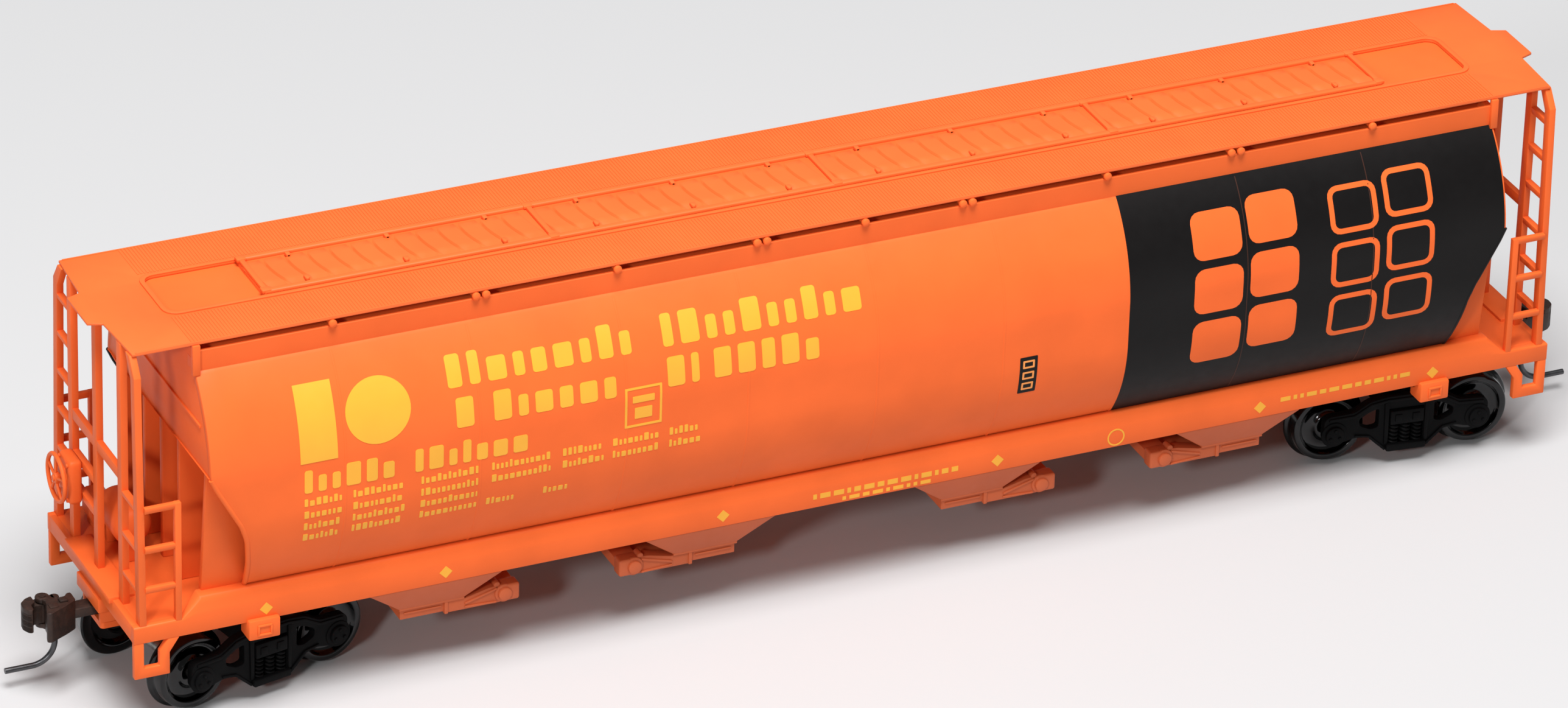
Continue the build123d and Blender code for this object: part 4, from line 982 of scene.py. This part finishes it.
def wheel_section(bore):
    """(radius, distance from the axle's middle) ring of a wheel: flange, tread, rim, dished web, hub."""
    back = [(bore, 7.4), (1.9, 7.4), (2.1, 7.5), (2.4, 7.85), (3.6, 7.85), (3.9, 7.4), (4.1, 7.2)]
    flange = [(5.15, 7.2), (5.32, 7.22), (FLANGE_R - 0.03, 7.32), (FLANGE_R, 7.42)]
    flange += [(FLANGE_R - 0.02, 7.55), (5.3, 7.68), (5.05, 7.75)]
    tread = [(TREAD_R + 0.06, 7.9), (TREAD_R, 8.1), (TREAD_R - 0.05, 9.4), (TREAD_R - 0.12, 9.53)]
    rim = [(TREAD_R - 0.25, 9.6), (4.1, 9.6), (3.96, 9.57), (3.86, 9.45)]
    web = [(3.7, 9.1), (3.4, 8.85), (3.0, 8.75), (2.4, 8.78), (2.05, 8.95)]
    return back + flange + tread + rim + web + [(1.85, 9.25), (1.7, 9.38), (1.5, 9.4), (bore, 9.4)]


def build_wheelset(number):
    """Both wheels of one wheelset, about its rolling joint."""
    joint = joints[f"wheelset_{number}_roll"]
    yaw = atan2(-joint["axis"][0], joint["axis"][1])
    place = Matrix.Translation(Vector(joint["pos_m"]) / MM) @ Matrix.Rotation(yaw, 4, "Z")
    for side, bore, sign in (("left", 1.35, 1), ("right", 0.8, -1)):
        disc = turned(wheel_section(bore), (0, 0, 0), "Y", 96)
        wheel = Piece(place).add(disc if sign > 0 else mirrored(disc))
        wheel.make(f"rail_wheel_{number}_{side}", wheel_metal, [f"wheel_{number}_{side}"],
                   f"wheelset_{number}", "wheel_metal", sharp=50)


# ---- couplers, drawn at the A end --------------------------------------------------------------
def coupler_parts():
    """Shank, head with guard arm, lugs for the knuckle pin, and the top boss."""
    head = [(98.8, -0.8), (99.4, -0.75), (99.7, -0.2), (102.4, -0.05), (102.5, 0.9), (102.9, 2.0)]
    head += [(103.2, 3.0), (102.7, 3.3), (101.4, 2.6), (100.2, 2.0), (98.8, 1.1)]
    low, high = HEAD_Z
    parts = [prism(rounded_outline(head, 0.3), "Z", low, high, 0.26, segments=3)]
    under, over = SHANK_Z
    parts.append(slab(SHANK_X, 99.4, -1.1, 1.1, under, over, 0.2))
    ring = [(1.17, under), (2.1, under), (2.2, under + 0.1), (2.2, over - 0.1), (2.1, over), (1.17, over)]
    parts.append(turned(ring, (SHANK_X, 0, 0), "Z"))
    pin_x, pin_y = KNUCKLE_PIN
    neck = [(101.0, 0.2), (101.5, -1.3), (103.1, -1.2), (102.3, 0.2)]
    for z0, z1 in ((low, low + LUG), (high - LUG, high)):
        parts.append(prism(neck, "Z", z0 + 0.02, z1 - 0.02, 0.1))
        parts.append(rod((pin_x, pin_y, 0), 0.9, z0, z1, "Z", 28, 0.15))
    parts.append(slab(99.75, 100.85, 0.25, 1.25, high - 0.1, high + 0.28, 0.15))
    parts.append(slab(101.2, 102.4, 1.0, 2.1, high - 0.1, high + 0.12, 0.1))
    return parts


def knuckle_parts():
    """Hooked jaw with a taller grooved nose, and the tail that holds the wire."""
    pin_x, pin_y = KNUCKLE_PIN
    low, high = HEAD_Z[0] + LUG + 0.1, HEAD_Z[1] - LUG - 0.1
    front = [(104.4, -1.6), (105.2, -0.8), (105.34, 0.3), (104.9, 1.3), (104.4, 1.48)]
    front += [(104.2, 1.0), (104.15, 0.0)]
    hook = [(pin_x, pin_y - 0.85), (103.4, -2.0)] + front + [(103.5, -0.4), (pin_x, pin_y + 0.85)]
    nose = [(103.5, -1.95)] + front + [(103.5, -0.4)]
    wire_x, wire_y = WIRE_TOP
    tail = [(pin_x, pin_y - 0.85), (wire_x, wire_y - 0.6), (wire_x, wire_y + 0.6), (pin_x, pin_y + 0.2)]
    parts = [prism(rounded_outline(hook, 0.25), "Z", low, high, 0.12)]
    parts.append(rod((pin_x, pin_y, 0), 0.88, low, high, "Z", 28))
    parts += [prism(tail, "Z", low, high, 0.12), rod((wire_x, wire_y, 0), 0.6, low, high, "Z", 24, 0.15)]
    step = (high + NOSE_RISE - low) / NOSE_RIDGES
    for k in range(NOSE_RIDGES):
        z = low + step * k
        parts.append(prism(rounded_outline(nose, 0.25), "Z", z, z + step, 0.13, segments=3))
    return parts


def wire_path():
    """Uncoupling wire: straight down from the knuckle's tail, then a wide bend and out."""
    end_x = box_mm("trip_wire_a")[1].x
    x, y = WIRE_TOP
    path = [Vector((x, y, 10.6))]
    for k in range(17):
        t = pi / 2 * k / 16
        path.append(Vector((x + WIRE_BEND * (1 - cos(t)), y, WIRE_LOW_Z + WIRE_BEND * (1 - sin(t)))))
    return path + [Vector((end_x - 0.02, y, WIRE_LOW_Z))]


def build_couplers():
    """Head, jaw and uncoupling wire of both couplers."""
    for end, turn in (("a", 0), ("b", pi)):
        place = Matrix.Rotation(turn, 4, "Z")
        head = Piece(place).add(*coupler_parts())
        head.make(f"coupler_head_{end}", coupler_metal, [f"coupler_{end}"], f"coupler_{end}",
                  "coupler_brown")
        jaw = Piece(place).add(*knuckle_parts())
        jaw.make(f"coupler_jaw_{end}", coupler_metal, [f"knuckle_{end}"], f"knuckle_{end}",
                 "coupler_brown")
        wire = Piece(place).add(tube(wire_path(), WIRE_R, 14))
        wire.make(f"uncoupling_wire_{end}", wire_metal, [f"trip_wire_{end}"], f"knuckle_{end}",
                  "wire_steel")


# ---- printed decoration, all plain shapes ------------------------------------------------------
PRINT_LIFT, MOTIF_LIFT = 0.045, 0.06     # how proud the marks stand, and the motifs on the panel
PRINT_ROOT = -0.05                       # how deep both reach into the side
WRAP_STEP = 0.7                          # longest stretch of flat print on the curved side
TILE_HALF, TILE_HEIGHT, TILE_GAP, TILE_LINE = 3.4, 6.2, 1.1, 0.7

# rows of blocks: (s, height, spans along x); s is measured up the side's profile from the sill
HEADINGS = (
    (24.1, 4.1, ((-56.6, -31.3), (-28.4, -1.4))),
    (19.0, 3.8, ((-55.9, -52.8), (-51.0, -35.0), (-28.2, -24.0), (-22.0, -6.5))),
    (14.1, 3.1, ((-75.6, -63.5), (-61.3, -46.2))),
)
LEFT_SPANS = ((-75.6, -70.8), (-69.3, -62.6), (-60.5, -53.1))
RIGHT_SPANS = ((-51.3, -43.6), (-42.0, -36.6), (-35.4, -29.2), (-27.9, -23.8))
DATA_ROWS = (
    (12.3, 1.0, LEFT_SPANS + RIGHT_SPANS),
    (10.6, 1.0, LEFT_SPANS + RIGHT_SPANS),
    (8.9, 1.0, LEFT_SPANS),
    (7.2, 1.0, LEFT_SPANS + ((-51.8, -48.2), (-44.3, -40.7))),
)


def wrapped(outline, lift=PRINT_LIFT, holes=()):
    """A flat (x, s) outline laid on the -Y side of the body; s is measured up the profile."""
    bm = bmesh.new()
    filled(bm, (outline, *holes), lambda x, s: (x, s, 0))
    low = min(s for _, s in outline)
    high = max(s for _, s in outline)
    cuts = int((high - low) / WRAP_STEP)
    for k in range(1, cuts + 1):
        level = low + (high - low) * k / (cuts + 1)
        bmesh.ops.bisect_plane(bm, geom=bm.verts[:] + bm.edges[:] + bm.faces[:],
                               plane_co=(0, level, 0), plane_no=(0, 1, 0))
    grown = bmesh.ops.extrude_face_region(bm, geom=bm.faces[:])["geom"]
    raised = {v for v in grown if isinstance(v, bmesh.types.BMVert)}
    for v in bm.verts:
        y, z = on_side(v.co.y, lift if v in raised else PRINT_ROOT)
        v.co = Vector((v.co.x, -y, z))
    bmesh.ops.recalc_face_normals(bm, faces=bm.faces)
    return bm


def ring_points(x, s, radius, steps=40):
    """A circle's outline."""
    return [(x + radius * cos(t), s + radius * sin(t)) for t in circle(steps)]


def bar_points(x0, x1, s0, s1, radius):
    """A rectangle's outline, with rounded corners."""
    half_x, half_s = (x1 - x0) / 2, (s1 - s0) / 2
    middle_x, middle_s = (x0 + x1) / 2, (s0 + s1) / 2
    return [(middle_x + x, middle_s + s) for x, s in rounded_rectangle(half_x, half_s, radius, 4)]


def inset_bar(x0, x1, s0, s1, line, radius):
    """The same rectangle, smaller by a line's width all round."""
    return bar_points(x0 + line, x1 - line, s0 + line, s1 - line, radius)


def panel_outline():
    """The black printed panel, from its straight edge to the slanted end of the side sheet."""
    rows = [(z, run_at(z)) for z in [FOOT_Z + 0.15 + (EAVE_Z - FOOT_Z - 0.2) * k / 40 for k in range(41)]]
    slanted = [(wing_x(z) - 0.3, s) for z, s in rows]
    return [(PANEL_X, rows[0][1])] + slanted + [(PANEL_X, rows[-1][1])]


def motif(x, outlined):
    """A plain decorative motif: two columns of three rounded tiles, solid or outlined."""
    shapes = []
    for column in (-1, 1):
        for row in range(3):
            s = 7.2 + (TILE_HEIGHT + TILE_GAP) * row + (0.9 if column > 0 else 0)
            middle = x + column * 3.9
            tile = (middle - TILE_HALF, middle + TILE_HALF, s, s + TILE_HEIGHT)
            holes = [inset_bar(*tile, TILE_LINE, 0.8)] if outlined else ()
            shapes.append(wrapped(bar_points(*tile, 1.4), MOTIF_LIFT, holes))
    return shapes


def blocks(x0, x1, s, height, rng):
    """A row of plain blocks that fills a length: the first is tall, most of the others are lower."""
    parts = []
    x = x0
    while x < x1 - height * 0.2:
        width = min(height * rng.choice((0.34, 0.46, 0.6)), x1 - x)
        tall = height * (1.0 if x == x0 else rng.choice((0.72, 0.72, 0.72, 1.0)))
        parts.append(wrapped(bar_points(x, x + width, s, s + tall, height * 0.1)))
        x += width + height * 0.24
    return parts


def build_panel():
    """The black panel at the right of the -Y side, its hairline seams and its two motifs."""
    plate = wrapped(bar_points(19.5, 21.9, 8.0, 13.3, 0.1))
    panel = [wrapped(panel_outline()), plate, mirrored(end_edge_bead(1))]
    make_print("black_panel", panel, black_print)
    seams = [wrapped(bar_points(x - 0.06, x + 0.06, 0.4, GIRTH - 0.5, 0.04), MOTIF_LIFT)
             for x in SEAMS if x > PANEL_X]
    make_print("panel_seams", seams, seam_brown)
    make_print("panel_motifs", motif(50.7, False) + motif(69.9, True), orange)
    frames = []
    for row in range(3):
        mark = (19.9, 21.5, 8.5 + 1.6 * row, 9.6 + 1.6 * row)
        frames.append(wrapped(bar_points(*mark, 0.1), MOTIF_LIFT, [inset_bar(*mark, 0.25, 0.05)]))
    make_print("plate_marks", frames, pale_print)


def build_markings():
    """Plain yellow blocks: a square, a disc, two headings, a boxed pair and rows of small data."""
    rng = random.Random(7)
    shapes = [wrapped(bar_points(-76.1, -71.3, 18.2, 28.05, 0.05))]
    shapes.append(wrapped(ring_points(-65.8, 23.2, 4.2, 48)))
    for s, height, spans in HEADINGS + DATA_ROWS:
        for x0, x1 in spans:
            shapes += blocks(x0, x1, s, height, rng)
    box = (-33.9, -29.0, 14.4, 19.8)
    shapes.append(wrapped(bar_points(*box, 0.1), PRINT_LIFT, [inset_bar(*box, 0.3, 0.05)]))
    shapes.append(wrapped(bar_points(-32.9, -30.0, 17.7, 18.6, 0.1)))
    shapes.append(wrapped(bar_points(-32.6, -30.3, 15.5, 17.0, 0.1)))
    make_print("yellow_marks", shapes, yellow_print)


def make_print(name, shapes, material):
    """Lay printed shapes on the -Y side, and a half-turned copy on the other side."""
    Piece().add(*both_ends(*shapes)).make(name, material)


def on_sill(outline, holes=()):
    """A flat (x, z) mark on the -Y side sill."""
    return prism(outline, "Y", -SILL_Y - 0.03, -SILL_Y + 0.05, 0.0, holes)


def build_sill_marks():
    """Small diamonds, bars and a ring along the sills."""
    rng = random.Random(3)
    marks = []
    for x in (-79.5, -56.1, -19.2, 18.3, 55.1, 79.8):
        diamond = [(x - 0.85, 14.8), (x, 13.95), (x + 0.85, 14.8), (x, 15.65)]
        marks.append(on_sill(diamond))
    for x0, x1, z, height in ((-7, 12, 14.5, 0.7), (58, 76, 15.0, 0.6), (-3, 9, 13.6, 0.5)):
        x = x0
        while x < x1:
            width = rng.choice((0.5, 0.9, 1.4))
            bar = [(x, z), (x + width, z), (x + width, z + height), (x, z + height)]
            marks.append(on_sill(bar))
            x += width + 0.45
    marks.append(on_sill(ring_points(34.8, 14.7, 1.2), [ring_points(34.8, 14.7, 1.0)]))
    make_print("sill_marks", marks, yellow_print)


# ---- CAD nodes that keep their own shape -------------------------------------------------------
CAD_FINISHES = {
    "axle_": axle_metal, "insulating_bush": bush_plastic, "kingpin_screw": screw_metal,
    "cover_screw": screw_metal, "ballast_screws": screw_metal, "ballast_weight": ballast_metal,
    "centering_spring": bronze, "knuckle_pin": coupler_metal, "coupler_box_cover": orange,
    "brake_shaft": orange, "brake_cylinder": orange, "control_valve": orange,
}


def finish_cad_nodes():
    """Give the CAD nodes that are kept a better material."""
    for prefix, material in CAD_FINISHES.items():
        for name, node in frame["nodes"].items():
            if name.startswith(prefix):
                node.data.materials.clear()
                node.data.materials.append(material)


# ---- stage -------------------------------------------------------------------------------------
def build_stage():
    """A plain pale floor."""
    half = 2.5
    mesh = bpy.data.meshes.new("floor")
    mesh.from_pydata([(-half, -half, 0), (half, -half, 0), (half, half, 0), (-half, half, 0)], [],
                     [(0, 1, 2, 3)])
    floor = bpy.data.objects.new("floor", mesh)
    material, _, _ = new_material("floor_paper", (0.50, 0.50, 0.505), 0.9, specular=0.1)
    mesh.materials.append(material)
    bpy.context.scene.collection.objects.link(floor)


def area_light(name, place, target, size, power, color=(1, 1, 1)):
    """A round soft light that faces its target."""
    light = bpy.data.lights.new(name, "AREA")
    light.shape, light.size, light.energy, light.color = "DISK", size, power, color
    lamp = bpy.data.objects.new(name, light)
    lamp.location = place
    lamp.rotation_mode = "QUATERNION"
    lamp.rotation_quaternion = (Vector(target) - Vector(place)).to_track_quat("-Z", "Y")
    bpy.context.scene.collection.objects.link(lamp)


def build_light():
    """Even white surroundings, a soft key light from above and a small one for glints."""
    world = bpy.data.worlds.new("studio")
    bpy.context.scene.world = world
    world.use_nodes = True
    background = world.node_tree.nodes["Background"]
    background.inputs["Color"].default_value = (1, 1, 1, 1)
    background.inputs["Strength"].default_value = 0.2
    area_light("key", (-0.15, -0.38, 1.22), (0, 0, 0.03), 0.7, 26.0)
    area_light("sparkle", (-0.75, -0.75, 0.55), (0, 0, 0.02), 0.12, 4.0)
    bpy.context.scene.view_settings.view_transform = "Standard"


def build_camera():
    """The camera looks from the B end's near side, from above, with a slight roll."""
    azimuth, elevation, roll = radians(-25.184), radians(28.889), radians(1.756)
    location = Vector((-0.403547, -0.848652, 0.544299))
    rotation = (Matrix.Rotation(azimuth, 4, "Z") @ Matrix.Rotation(pi / 2 - elevation, 4, "X")
                @ Matrix.Rotation(roll, 4, "Z"))
    data = bpy.data.cameras.new("camera")
    data.sensor_width, data.lens = 36.0, 197.43
    data.clip_start, data.clip_end = 0.05, 20
    camera = bpy.data.objects.new("camera", data)
    camera.matrix_world = Matrix.Translation(location) @ rotation
    bpy.context.scene.collection.objects.link(camera)
    bpy.context.scene.camera = camera


build_body()
build_underframe()
build_pockets()
build_gates()
build_running_board()
build_hatch()
build_pins()
build_end_frames()
build_side_ladders()
build_hand_brake()
build_air_tank()
for end, numbers in (("b", (1, 2)), ("a", (3, 4))):
    build_truck(end)
    for number in numbers:
        build_wheelset(number)
build_couplers()
build_panel()
build_markings()
build_sill_marks()
finish_cad_nodes()
build_stage()
build_light()
build_camera()
